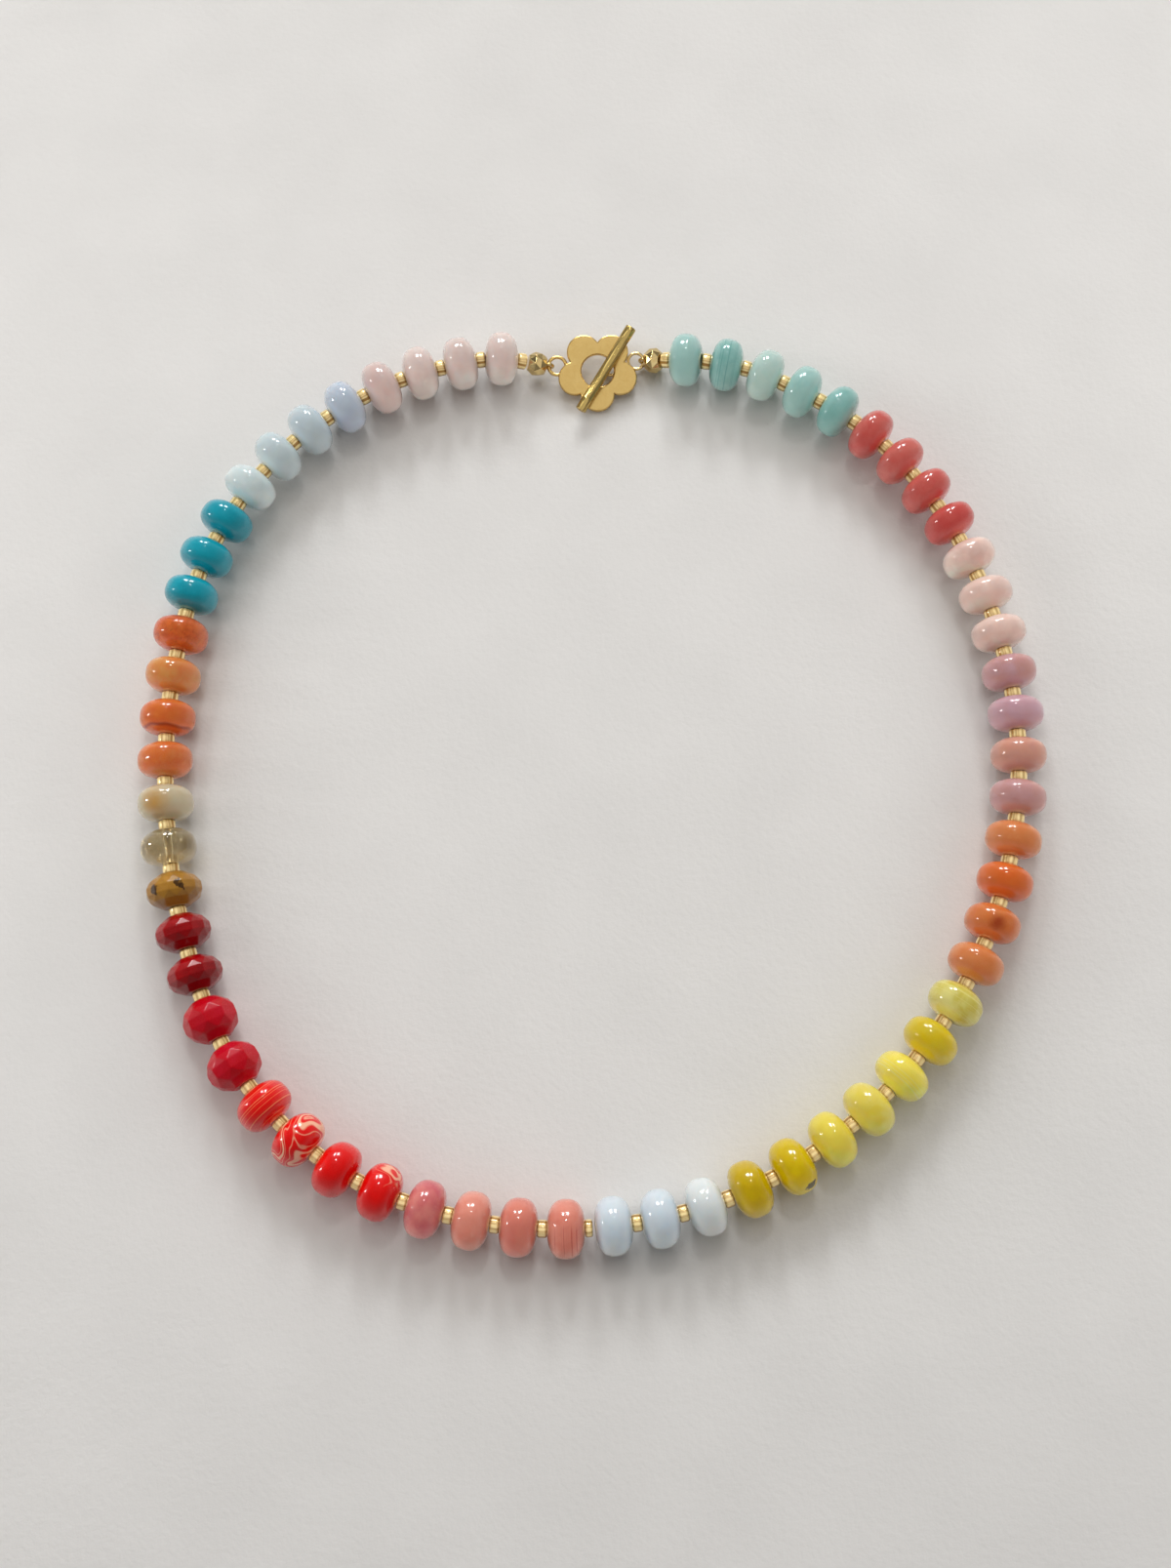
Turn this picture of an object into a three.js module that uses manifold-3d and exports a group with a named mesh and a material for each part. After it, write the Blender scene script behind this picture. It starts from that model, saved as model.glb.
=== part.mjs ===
// Beaded necklace, closed with a flower toggle clasp and laid down flat.
// Units are millimetres. +X is the wearer's left to right across the ring, +Y runs to the clasp,
// +Z is up, and the origin is on the table under the middle of the necklace.
import * as THREE from 'three';
import { mergeVertices } from 'three/addons/utils/BufferGeometryUtils.js';
import Module from 'manifold-3d';

const wasm = await Module();
wasm.setup();

// Stones on the string
const BEAD_WIDTH = 8.0;
const BEAD_LENGTH = 5.0;
const BEAD_SIDES = 12;

// Seed beads between the stones
const SEED_WIDTH = 2.4;
const SEED_LENGTH = 1.35;

// Clearances between pieces that touch on the real necklace
const SEAT_GAP = 0.3;
const LOOP_GAP = 0.2;

// Gold end beads, each with a mouth that takes the root of a wire loop
const END_BEAD_SIDES = 8;
const END_BEAD_LEFT = { width: 3.5, length: 2.7 };
const END_BEAD_RIGHT = { width: 3.8, length: 2.5 };
const MOUTH_WIDTH = 2.3;
const MOUTH_DEPTH = 1.2;
const MOUTH_RIM = 0.2;

// Wire loops between the end beads and the clasp
const LOOP_WIDTH = 1.8;
const LOOP_WIRE = 0.45;

// Flower plate with its round window and side ring. Directions are in degrees round its middle.
const PETALS = 5;
const PETAL_OFFSET = 3.55;
const PETAL_RADIUS = 2.44;
const WINDOW_RADIUS = 2.45;
const PLATE_THICKNESS = 1.0;
const PLATE_ROUNDING = 0.22;
const RING_WIDTH = 3.2;
const RING_WIRE = 0.55;
const RING_DIRECTION = 172.2;
const RING_STANDOFF = 0.42;

// Toggle bar with its shank and eye
const BAR_WIDTH = 1.5;
const BAR_LENGTH = 14.6;
const BAR_COLLAR = 0.08;
const COLLAR_LENGTH = 2.0;
const BAR_CHAMFER = 0.15;
const BAR_TURN = 58;
const EYE_WIDTH = 2.3;
const EYE_WIRE = 0.45;
const EYE_CLEARANCE = 0.15;
const SHANK_WIDTH = 0.8;

// Link from the eye, under the plate, to the right wire loop
const LINK_WIRE = 0.5;
const LINK_EYE_WIDTH = 2.5;
const LINK_EYE_OFFSET = 0.35;
const LINK_LOOP_WIDTH = 2.9;
const LINK_DIRECTION = 16.2;
const LINK_STANDOFF = 0.5;

// How the clasp lies: its lowest petal on the table, its top edge propped up by the link
const CLASP_LEAN = 14;
const CLASP_TURN = -3;

const WIRE_SIDES = 6;
const LOOP_STEPS = 14;
const RING_STEPS = 18;

// Rings of each stone's outline: share of its length from the middle, share of its radius,
// and the number of sides by which the ring is turned. Each ring of a cut stone is turned half a
// side further than the one before it, which makes facets that all slant the same way.
const ROUND_OUTLINE = [
  { along: -0.5, across: 0.36, turn: 0 },
  { along: -0.36, across: 0.79, turn: 0 },
  { along: -0.16, across: 1.0, turn: 0 },
  { along: 0.16, across: 1.0, turn: 0 },
  { along: 0.36, across: 0.79, turn: 0 },
  { along: 0.5, across: 0.36, turn: 0 },
];
const FACETED_OUTLINE = [
  { along: -0.5, across: 0.46, turn: 0 },
  { along: -0.27, across: 0.87, turn: 0.5 },
  { along: 0, across: 1.0, turn: 1 },
  { along: 0.27, across: 0.87, turn: 1.5 },
  { along: 0.5, across: 0.46, turn: 2 },
];

// Runs of stones in the order of the string, from the clasp's left side round to its right.
// Length and width are shares of BEAD_LENGTH and BEAD_WIDTH.
const STONE_RUNS = [
  { stone: 'rose_quartz', count: 4, length: 0.97, width: 1.0, cut: 'round' },
  { stone: 'pale_blue', count: 4, length: 0.99, width: 0.99, cut: 'round' },
  { stone: 'turquoise', count: 3, length: 0.97, width: 0.99, cut: 'round' },
  { stone: 'carnelian', count: 4, length: 0.99, width: 1.0, cut: 'round' },
  { stone: 'agate', count: 2, length: 1.01, width: 1.0, cut: 'round' },
  { stone: 'garnet', count: 3, length: 0.97, width: 0.99, cut: 'faceted' },
  { stone: 'red_facets', count: 2, length: 1.18, width: 0.97, cut: 'faceted' },
  { stone: 'red_jasper', count: 4, length: 1.06, width: 1.0, cut: 'round' },
  { stone: 'salmon', count: 4, length: 1.01, width: 1.0, cut: 'round' },
  { stone: 'ice_blue', count: 3, length: 1.0, width: 1.0, cut: 'round' },
  { stone: 'mustard', count: 4, length: 1.03, width: 1.0, cut: 'round' },
  { stone: 'lemon', count: 3, length: 0.99, width: 0.99, cut: 'round' },
  { stone: 'orange', count: 4, length: 0.97, width: 1.0, cut: 'round' },
  { stone: 'mauve', count: 4, length: 0.96, width: 1.0, cut: 'round' },
  { stone: 'pale_pink', count: 3, length: 0.94, width: 0.99, cut: 'round' },
  { stone: 'coral', count: 4, length: 0.93, width: 0.99, cut: 'round' },
  { stone: 'amazonite', count: 5, length: 0.95, width: 0.98, cut: 'round' },
];
const LEFT_STONES = 30;

// The necklace's route round the neck opening: the middle of the clasp first, then the string's
// points from the clasp's left to its right
const ROUTE = [
  { x: 5.56, y: 63.65 },
  { x: -9.0, y: 65.6 },
  { x: -15.0, y: 65.2 },
  { x: -27.0, y: 62.0 },
  { x: -42.5, y: 52.1 },
  { x: -53.5, y: 36.6 },
  { x: -58.5, y: 18.6 },
  { x: -59.6, y: 0.0 },
  { x: -57.3, y: -18.7 },
  { x: -50.2, y: -38.0 },
  { x: -36.5, y: -52.6 },
  { x: -18.7, y: -60.3 },
  { x: 0.3, y: -62.1 },
  { x: 18.8, y: -58.4 },
  { x: 35.9, y: -48.6 },
  { x: 49.1, y: -34.8 },
  { x: 57.6, y: -18.5 },
  { x: 61.6, y: -0.3 },
  { x: 60.7, y: 18.1 },
  { x: 55.3, y: 35.3 },
  { x: 45.2, y: 49.9 },
  { x: 30.4, y: 60.4 },
  { x: 24.6, y: 62.5 },
  { x: 18.7, y: 63.6 },
];
const [CLASP_PLACE, ...STRING_ROUTE] = ROUTE;

function toSolid(geometry) {
  const bare = geometry.clone();
  bare.deleteAttribute('normal');
  bare.deleteAttribute('uv');
  const merged = mergeVertices(bare, 1e-5);
  const mesh = new wasm.Mesh({
    numProp: 3,
    vertProperties: new Float32Array(merged.attributes.position.array),
    triVerts: new Uint32Array(merged.index.array),
  });
  return new wasm.Manifold(mesh);
}

function toGeometry(solid) {
  const mesh = solid.getMesh();
  const geometry = new THREE.BufferGeometry();
  geometry.setAttribute('position', new THREE.BufferAttribute(mesh.vertProperties, 3));
  geometry.setIndex(new THREE.BufferAttribute(mesh.triVerts, 1));
  geometry.computeVertexNormals();
  return geometry;
}

// One body out of several overlapping closed pieces
function fuse(geometries) {
  let solid = toSolid(geometries[0]);
  for (const geometry of geometries.slice(1)) {
    solid = solid.add(toSolid(geometry));
  }
  return toGeometry(solid);
}

function polar(radius, degrees) {
  const angle = THREE.MathUtils.degToRad(degrees);
  return new THREE.Vector2(radius * Math.cos(angle), radius * Math.sin(angle));
}

// A turned piece along its own Y axis, from a profile of radius and place along the axis
function turned(profile, sides) {
  const points = profile.map(([radius, along]) => new THREE.Vector2(radius, along));
  return new THREE.LatheGeometry(points, sides);
}

// A round wire ring in its own XY plane
function wireRing(width, wire, steps) {
  return new THREE.TorusGeometry((width - wire) / 2, wire / 2, WIRE_SIDES, steps);
}

// The clasp's own frame: X and Y in the flower plate, Z off its face
function claspFrame() {
  const reach = PETAL_OFFSET + PETAL_RADIUS;
  const lean = THREE.MathUtils.degToRad(CLASP_LEAN);
  const turn = THREE.MathUtils.degToRad(CLASP_TURN);
  const height = (PLATE_THICKNESS / 2) * Math.cos(lean) + reach * Math.sin(lean);
  const frame = new THREE.Matrix4().makeRotationFromEuler(new THREE.Euler(lean, 0, turn, 'XYZ'));
  frame.setPosition(CLASP_PLACE.x, CLASP_PLACE.y, height);
  return frame;
}

// How far the notch between two petals lies from the plate's middle
function notchRadius() {
  const half = Math.PI / PETALS;
  const across = PETAL_OFFSET * Math.sin(half);
  return PETAL_OFFSET * Math.cos(half) + Math.sqrt(PETAL_RADIUS ** 2 - across ** 2);
}

// The plan of the clasp in its own frame: the side ring's middle, the middle of the bar,
// where its eye just clears the window, and the middles of the link's two rings
function claspPlan() {
  const ring = polar(notchRadius() + RING_STANDOFF + RING_WIDTH / 2, RING_DIRECTION);
  const along = polar(1, BAR_TURN);
  const aside = polar(1, BAR_TURN - 90);
  const eyeReach = along.clone().multiplyScalar(EYE_WIDTH / 2);
  const inside = WINDOW_RADIUS - EYE_WIRE / 2 - EYE_CLEARANCE;
  const bar = new THREE.Vector2(Math.sqrt(inside ** 2 - eyeReach.y ** 2) - eyeReach.x, 0);
  const linkRadius = (LINK_EYE_WIDTH - LINK_WIRE) / 2;
  const linkEye = bar.clone();
  linkEye.addScaledVector(along, Math.sqrt(linkRadius ** 2 - LINK_EYE_OFFSET ** 2));
  linkEye.addScaledVector(aside, LINK_EYE_OFFSET);
  const linkLoop = polar(notchRadius() + LINK_STANDOFF + LINK_LOOP_WIDTH / 2, LINK_DIRECTION);
  return { ring, bar, linkEye, linkLoop };
}

const LINK_DEPTH = -(PLATE_THICKNESS / 2 + SEAT_GAP + LINK_WIRE / 2);
const BAR_HEIGHT = PLATE_THICKNESS / 2 + SEAT_GAP + BAR_WIDTH / 2;

// Where the two wire loops hold the clasp: the far wires of the side ring and of the link
function claspAnchors() {
  const plan = claspPlan();
  const ringReach = (RING_WIDTH - RING_WIRE) / 2;
  const linkReach = (LINK_LOOP_WIDTH - LINK_WIRE) / 2;
  const left = new THREE.Vector3(plan.ring.x - ringReach, plan.ring.y, 0);
  const right = new THREE.Vector3(plan.linkLoop.x + linkReach, plan.linkLoop.y, LINK_DEPTH);
  const frame = claspFrame();
  return { left: left.applyMatrix4(frame), right: right.applyMatrix4(frame) };
}

// Every stone in order, at its real length and width
function stones() {
  const list = [];
  for (const run of STONE_RUNS) {
    for (let i = 0; i < run.count; i += 1) {
      const outline = run.cut === 'faceted' ? FACETED_OUTLINE : ROUND_OUTLINE;
      list.push({ length: BEAD_LENGTH * run.length, width: BEAD_WIDTH * run.width, outline });
    }
  }
  return list;
}

// The two strings and what holds their ends, each with the stretch of route that it takes
function layout() {
  const all = stones();
  const mouthSide = LOOP_GAP + RING_WIRE / 2;
  const seedShare = SEED_LENGTH * (all.length + 1);
  const stoneShare = all.reduce((sum, stone) => sum + stone.length, 0);
  const endShare = (end) => mouthSide + end.length + SEAT_GAP;
  const total = endShare(END_BEAD_LEFT) + seedShare + stoneShare + endShare(END_BEAD_RIGHT);
  const left = stringProfile(all.slice(0, LEFT_STONES), endShare(END_BEAD_LEFT), true);
  const right = stringProfile(all.slice(LEFT_STONES), left.end + SEAT_GAP, false);
  return {
    total,
    left: left.rings,
    right: right.rings,
    endLeft: mouthSide + END_BEAD_LEFT.length / 2,
    endRight: total - mouthSide - END_BEAD_RIGHT.length / 2,
  };
}

// Rings of one string from its first end to its last: a seed bead, then a stone, and so on.
// The seed where the two strings meet is shorter by the gap between them. What a cut stone has
// turned, the rings after it keep, so that no face between two rings is twisted.
function stringProfile(list, start, opensWithSeed) {
  const seedRadius = SEED_WIDTH / 2;
  const rings = [];
  let place = start;
  let sidesTurned = 0;
  const addSeed = (length) => {
    rings.push({ radius: seedRadius, place, turn: sidesTurned });
    place += length;
    rings.push({ radius: seedRadius, place, turn: sidesTurned });
  };
  if (opensWithSeed) {
    addSeed(SEED_LENGTH);
  }
  list.forEach((stone, index) => {
    const middle = place + stone.length / 2;
    for (const { along, across, turn } of stone.outline) {
      const ringPlace = middle + along * stone.length;
      rings.push({ radius: (across * stone.width) / 2, place: ringPlace, turn: sidesTurned + turn });
    }
    sidesTurned += stone.outline[stone.outline.length - 1].turn;
    place += stone.length;
    const meeting = opensWithSeed && index === list.length - 1;
    addSeed(SEED_LENGTH - (meeting ? SEAT_GAP : 0));
  });
  return { rings, end: place };
}

// The route with its middle points drawn in or out until it is as long as what it carries
function fittedRoute(length) {
  const anchors = claspAnchors();
  const middle = new THREE.Vector3(0, 0, BEAD_WIDTH / 2);
  const build = (share) => {
    const points = STRING_ROUTE.map(({ x, y }) => {
      const point = new THREE.Vector3(x, y, BEAD_WIDTH / 2);
      return point.sub(middle).multiplyScalar(share).add(middle);
    });
    const curve = new THREE.CatmullRomCurve3([anchors.left, ...points, anchors.right]);
    curve.arcLengthDivisions = 1500;
    return curve;
  };
  let low = 0.5;
  let high = 2.0;
  for (let step = 0; step < 30; step += 1) {
    const share = (low + high) / 2;
    if (build(share).getLength() < length) {
      low = share;
    } else {
      high = share;
    }
  }
  return build((low + high) / 2);
}

// The route's place and directions at a distance from its start: Y along the string, Z up
function routePose(route, total, place) {
  const share = THREE.MathUtils.clamp(place / total, 0, 1);
  const along = route.getTangentAt(share);
  const side = new THREE.Vector3().crossVectors(along, new THREE.Vector3(0, 0, 1)).normalize();
  const up = new THREE.Vector3().crossVectors(side, along);
  const pose = new THREE.Matrix4().makeBasis(side, along, up);
  return pose.setPosition(route.getPointAt(share));
}

// One string: all its rings turned as one straight piece, then laid along the route
function stringGeometry(rings, route, total) {
  const ends = [{ ...rings[0], radius: 0 }, ...rings, { ...rings[rings.length - 1], radius: 0 }];
  const geometry = turned(ends.map(({ radius, place }) => [radius, place]), BEAD_SIDES);
  const position = geometry.attributes.position;
  const poses = ends.map(({ place }) => routePose(route, total, place));
  const point = new THREE.Vector3();
  const axis = new THREE.Vector3(0, 1, 0);
  for (let i = 0; i < position.count; i += 1) {
    const ring = i % ends.length;
    point.fromBufferAttribute(position, i);
    point.y = 0;
    point.applyAxisAngle(axis, (ends[ring].turn * 2 * Math.PI) / BEAD_SIDES);
    point.applyMatrix4(poses[ring]);
    position.setXYZ(i, point.x, point.y, point.z);
  }
  return geometry;
}

// A faceted gold bead with its mouth toward +Y. Its slanting facets take a third of its length
// at either end.
function endBeadGeometry({ width, length }) {
  const radius = width / 2;
  const back = -length / 2;
  const front = length / 2;
  const mouth = MOUTH_WIDTH / 2;
  return turned([
    [0, back],
    [SEED_WIDTH / 2, back],
    [radius, back + length / 3],
    [radius, front - length / 3],
    [mouth + MOUTH_RIM, front],
    [mouth, front],
    [mouth, front - MOUTH_DEPTH],
    [0, front - MOUTH_DEPTH],
  ], END_BEAD_SIDES);
}

// A wire loop that stands upright round the origin, with its root toward +Y in the end bead's mouth
function wireLoopGeometry() {
  const ring = wireRing(LOOP_WIDTH, LOOP_WIRE, LOOP_STEPS);
  ring.rotateY(Math.PI / 2);
  const rootEnd = RING_WIRE / 2 + MOUTH_DEPTH;
  const rootStart = (LOOP_WIDTH - LOOP_WIRE) / 2;
  const rootLength = rootEnd - rootStart;
  const root = new THREE.CylinderGeometry(LOOP_WIRE / 2, LOOP_WIRE / 2, rootLength, WIRE_SIDES);
  root.translate(0, rootStart + rootLength / 2, 0);
  return fuse([ring, root]);
}

function flowerOutline() {
  const half = Math.PI / PETALS;
  const notch = notchRadius();
  const sweep = Math.atan2(notch * Math.sin(half), notch * Math.cos(half) - PETAL_OFFSET);
  const steps = 8;
  const points = [];
  for (let petal = 0; petal < PETALS; petal += 1) {
    const direction = -90 + (360 / PETALS) * petal;
    const centre = polar(PETAL_OFFSET, direction);
    for (let step = 0; step < steps; step += 1) {
      const angle = THREE.MathUtils.radToDeg(-sweep + (2 * sweep * step) / steps);
      points.push(polar(PETAL_RADIUS, direction + angle).add(centre));
    }
  }
  return points;
}

function flowerRing() {
  const plate = new THREE.Shape(flowerOutline());
  const window = new THREE.Path().absarc(0, 0, WINDOW_RADIUS, 0, 2 * Math.PI, true);
  plate.holes.push(window);
  const geometry = new THREE.ExtrudeGeometry(plate, {
    depth: PLATE_THICKNESS - 2 * PLATE_ROUNDING,
    curveSegments: 20,
    bevelEnabled: true,
    bevelThickness: PLATE_ROUNDING,
    bevelSize: PLATE_ROUNDING,
    bevelOffset: -PLATE_ROUNDING,
    bevelSegments: 1,
  });
  geometry.translate(0, 0, PLATE_ROUNDING - PLATE_THICKNESS / 2);
  const ring = wireRing(RING_WIDTH, RING_WIRE, RING_STEPS);
  const place = claspPlan().ring;
  ring.translate(place.x, place.y, 0);
  return fuse([geometry, ring]).applyMatrix4(claspFrame());
}

function toggleBar() {
  const radius = BAR_WIDTH / 2;
  const collar = radius + BAR_COLLAR;
  const half = BAR_LENGTH / 2;
  const step = half - COLLAR_LENGTH;
  const bar = turned([
    [0, -half],
    [collar - BAR_CHAMFER, -half],
    [collar, BAR_CHAMFER - half],
    [collar, -step],
    [radius, BAR_COLLAR - step],
    [radius, step - BAR_COLLAR],
    [collar, step],
    [collar, half - BAR_CHAMFER],
    [collar - BAR_CHAMFER, half],
    [0, half],
  ], BEAD_SIDES);
  const eyeDepth = LINK_DEPTH + EYE_WIRE / 2 - BAR_HEIGHT;
  const eye = wireRing(EYE_WIDTH, EYE_WIRE, LOOP_STEPS);
  eye.rotateY(Math.PI / 2);
  eye.translate(0, 0, eyeDepth);
  const shankLength = -eyeDepth - EYE_WIDTH / 2 + EYE_WIRE / 2;
  const shank = new THREE.CylinderGeometry(SHANK_WIDTH / 2, SHANK_WIDTH / 2, shankLength, BEAD_SIDES);
  shank.rotateX(Math.PI / 2);
  shank.translate(0, 0, -shankLength / 2);
  const geometry = fuse([bar, shank, eye]);
  geometry.rotateZ(THREE.MathUtils.degToRad(BAR_TURN - 90));
  const place = claspPlan().bar;
  geometry.translate(place.x, place.y, BAR_HEIGHT);
  return geometry.applyMatrix4(claspFrame());
}

function claspLink() {
  const { linkEye, linkLoop } = claspPlan();
  const step = linkLoop.clone().sub(linkEye);
  const eyeEnd = wireRing(LINK_EYE_WIDTH, LINK_WIRE, RING_STEPS);
  const loopEnd = wireRing(LINK_LOOP_WIDTH, LINK_WIRE, RING_STEPS);
  loopEnd.translate(step.length(), 0, 0);
  const start = LINK_EYE_WIDTH / 2 - LINK_WIRE / 2;
  const end = step.length() - LINK_LOOP_WIDTH / 2 + LINK_WIRE / 2;
  const waist = new THREE.CylinderGeometry(LINK_WIRE / 2, LINK_WIRE / 2, end - start, WIRE_SIDES);
  waist.rotateZ(Math.PI / 2);
  waist.translate((start + end) / 2, 0, 0);
  const geometry = fuse([eyeEnd, waist, loopEnd]);
  geometry.rotateZ(step.angle());
  geometry.translate(linkEye.x, linkEye.y, LINK_DEPTH);
  return geometry.applyMatrix4(claspFrame());
}

const GOLD = { roughness: 0.25, metalness: 1.0 };
const LOOKS = {
  bead_string_left: { color: 0xc9968c, roughness: 0.25, metalness: 0.0 },
  bead_string_right: { color: 0xd0a878, roughness: 0.25, metalness: 0.0 },
  end_bead_left: { color: 0xc9ad6b, ...GOLD },
  end_bead_right: { color: 0xc9ad6b, ...GOLD },
  wire_loop_left: { color: 0xb8954a, ...GOLD },
  wire_loop_right: { color: 0xb8954a, ...GOLD },
  flower_ring: { color: 0xc8a55a, roughness: 0.35, metalness: 1.0 },
  toggle_bar: { color: 0xbc9d55, ...GOLD },
  clasp_link: { color: 0xb8954a, ...GOLD },
};

function namedMesh(name, geometry) {
  const mesh = new THREE.Mesh(geometry, new THREE.MeshStandardMaterial(LOOKS[name]));
  mesh.name = name;
  return mesh;
}

function buildNecklace() {
  const necklace = new THREE.Group();
  const plan = layout();
  const route = fittedRoute(plan.total);
  const pose = (place) => routePose(route, plan.total, place);
  const endLeft = endBeadGeometry(END_BEAD_LEFT).rotateX(Math.PI);
  const endRight = endBeadGeometry(END_BEAD_RIGHT);
  const loopRight = wireLoopGeometry().rotateX(Math.PI);
  necklace.add(namedMesh('bead_string_left', stringGeometry(plan.left, route, plan.total)));
  necklace.add(namedMesh('bead_string_right', stringGeometry(plan.right, route, plan.total)));
  necklace.add(namedMesh('end_bead_left', endLeft.applyMatrix4(pose(plan.endLeft))));
  necklace.add(namedMesh('end_bead_right', endRight.applyMatrix4(pose(plan.endRight))));
  necklace.add(namedMesh('wire_loop_left', wireLoopGeometry().applyMatrix4(pose(0))));
  necklace.add(namedMesh('wire_loop_right', loopRight.applyMatrix4(pose(plan.total))));
  necklace.add(namedMesh('flower_ring', flowerRing()));
  necklace.add(namedMesh('toggle_bar', toggleBar()));
  necklace.add(namedMesh('clasp_link', claspLink()));
  const box = new THREE.Box3().setFromObject(necklace);
  const middle = box.getCenter(new THREE.Vector3());
  necklace.position.set(-middle.x, -middle.y, -box.min.z);
  return necklace;
}

export default buildNecklace();
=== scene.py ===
import math
import random
import bmesh
import bpy
from mathutils import Matrix, Vector


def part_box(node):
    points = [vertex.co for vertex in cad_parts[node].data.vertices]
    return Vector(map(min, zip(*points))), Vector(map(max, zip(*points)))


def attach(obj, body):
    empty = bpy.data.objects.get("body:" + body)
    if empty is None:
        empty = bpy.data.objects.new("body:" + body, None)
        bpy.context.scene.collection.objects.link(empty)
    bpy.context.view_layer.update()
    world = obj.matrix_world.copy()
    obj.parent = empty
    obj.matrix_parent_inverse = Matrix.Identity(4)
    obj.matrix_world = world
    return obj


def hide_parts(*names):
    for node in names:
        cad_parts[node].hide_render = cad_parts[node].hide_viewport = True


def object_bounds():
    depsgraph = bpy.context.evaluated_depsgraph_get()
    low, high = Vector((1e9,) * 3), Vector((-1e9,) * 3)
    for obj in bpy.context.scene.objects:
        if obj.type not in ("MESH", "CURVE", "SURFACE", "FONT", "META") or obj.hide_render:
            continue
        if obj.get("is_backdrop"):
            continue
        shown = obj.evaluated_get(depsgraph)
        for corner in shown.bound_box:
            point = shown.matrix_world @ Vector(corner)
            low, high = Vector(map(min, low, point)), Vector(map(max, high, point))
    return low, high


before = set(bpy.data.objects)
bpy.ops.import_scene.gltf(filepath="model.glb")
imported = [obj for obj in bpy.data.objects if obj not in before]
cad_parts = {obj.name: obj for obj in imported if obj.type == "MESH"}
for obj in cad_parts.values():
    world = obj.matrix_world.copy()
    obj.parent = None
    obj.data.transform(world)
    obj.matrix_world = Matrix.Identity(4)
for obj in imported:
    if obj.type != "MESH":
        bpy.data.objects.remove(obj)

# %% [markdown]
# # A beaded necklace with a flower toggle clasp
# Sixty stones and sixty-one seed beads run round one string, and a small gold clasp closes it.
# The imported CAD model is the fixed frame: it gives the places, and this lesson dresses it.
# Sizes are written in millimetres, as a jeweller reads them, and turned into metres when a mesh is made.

MM = 0.001
cad_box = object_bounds()
print("frame, mm:", [round((high - low) / MM, 1) for low, high in zip(*cad_box)])

# %% [markdown]
# ## The camera
# The necklace lies on a table and is seen from about 76 degrees above the floor, with a slight roll
# of the hand that held the camera. The lens, the tilt and the roll were fitted so that the stones'
# centres fall where they do in the picture. The picture is upright, so the sensor's long side is
# its height. The camera looks down its own -Z axis: a turn about X tilts it, and a turn about its
# own Z rolls it.

# %% Camera
LENS = 42.69
CAMERA_PLACE = Vector((-1.093, -66.482, 259.972)) * MM
CAMERA_TILT = math.radians(13.991)
CAMERA_ROLL = math.radians(-3.427)

lens = bpy.data.cameras.new("camera")
lens.lens = LENS
lens.sensor_fit = "VERTICAL"
lens.sensor_height = 36.0
lens.clip_start = 0.01
camera = bpy.data.objects.new("camera", lens)
bpy.context.scene.collection.objects.link(camera)
camera.matrix_world = (
    Matrix.Translation(CAMERA_PLACE)
    @ Matrix.Rotation(CAMERA_TILT, 4, "X")
    @ Matrix.Rotation(CAMERA_ROLL, 4, "Z")
)
bpy.context.scene.camera = camera
bpy.context.scene.view_settings.view_transform = "Standard"
print("camera elevation:", round(90 - math.degrees(CAMERA_TILT), 1), "degrees")

# %% [markdown]
# ## Sizes
# These are the sizes of the CAD model, so that each piece lands on the solid that it stands for.
# A stone is a short rondelle: 8 mm across and 5 mm along the string. Each run of stones has its own
# share of those two sizes, because stones of one kind come from one strand.

# %% Sizes of the pieces, in millimetres
BEAD_WIDTH = 8.0
BEAD_LENGTH = 5.0
SEED_WIDTH = 2.4
SEED_LENGTH = 1.35
SEAT_GAP = 0.3
LOOP_GAP = 0.2
END_BEAD_LEFT = {"width": 3.5, "length": 2.7}
END_BEAD_RIGHT = {"width": 3.8, "length": 2.5}
MOUTH_WIDTH = 2.3
MOUTH_DEPTH = 1.2
MOUTH_RIM = 0.2
LOOP_WIDTH = 1.8
LOOP_WIRE = 0.45
PETALS = 5
PETAL_OFFSET = 3.55
PETAL_RADIUS = 2.44
WINDOW_RADIUS = 2.45
PLATE_THICKNESS = 1.0
RING_WIDTH = 3.2
RING_WIRE = 0.55
RING_DIRECTION = 172.2
RING_STANDOFF = 0.42
BAR_WIDTH = 1.5
BAR_LENGTH = 14.6
COLLAR_LENGTH = 2.0
BAR_CHAMFER = 0.15
BAR_TURN = 58
EYE_WIDTH = 2.3
EYE_WIRE = 0.45
EYE_CLEARANCE = 0.15
SHANK_WIDTH = 0.8
LINK_WIRE = 0.5
LINK_EYE_WIDTH = 2.5
LINK_EYE_OFFSET = 0.35
LINK_LOOP_WIDTH = 2.9
LINK_DIRECTION = 16.2
LINK_STANDOFF = 0.5
CLASP_LEAN = 14
CLASP_TURN = -3
LEFT_STONES = 30
print("a stone:", BEAD_WIDTH, "x", BEAD_LENGTH, "mm, a seed:", SEED_WIDTH, "x", SEED_LENGTH, "mm")

# %% [markdown]
# ## The run of stones
# The stones follow the rainbow round the ring. The table names each kind, how many of them hang
# together, and their shares of the length and the width. The two cut kinds also say how many facets
# go round them, and how far their edges are rounded, in millimetres.

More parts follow.
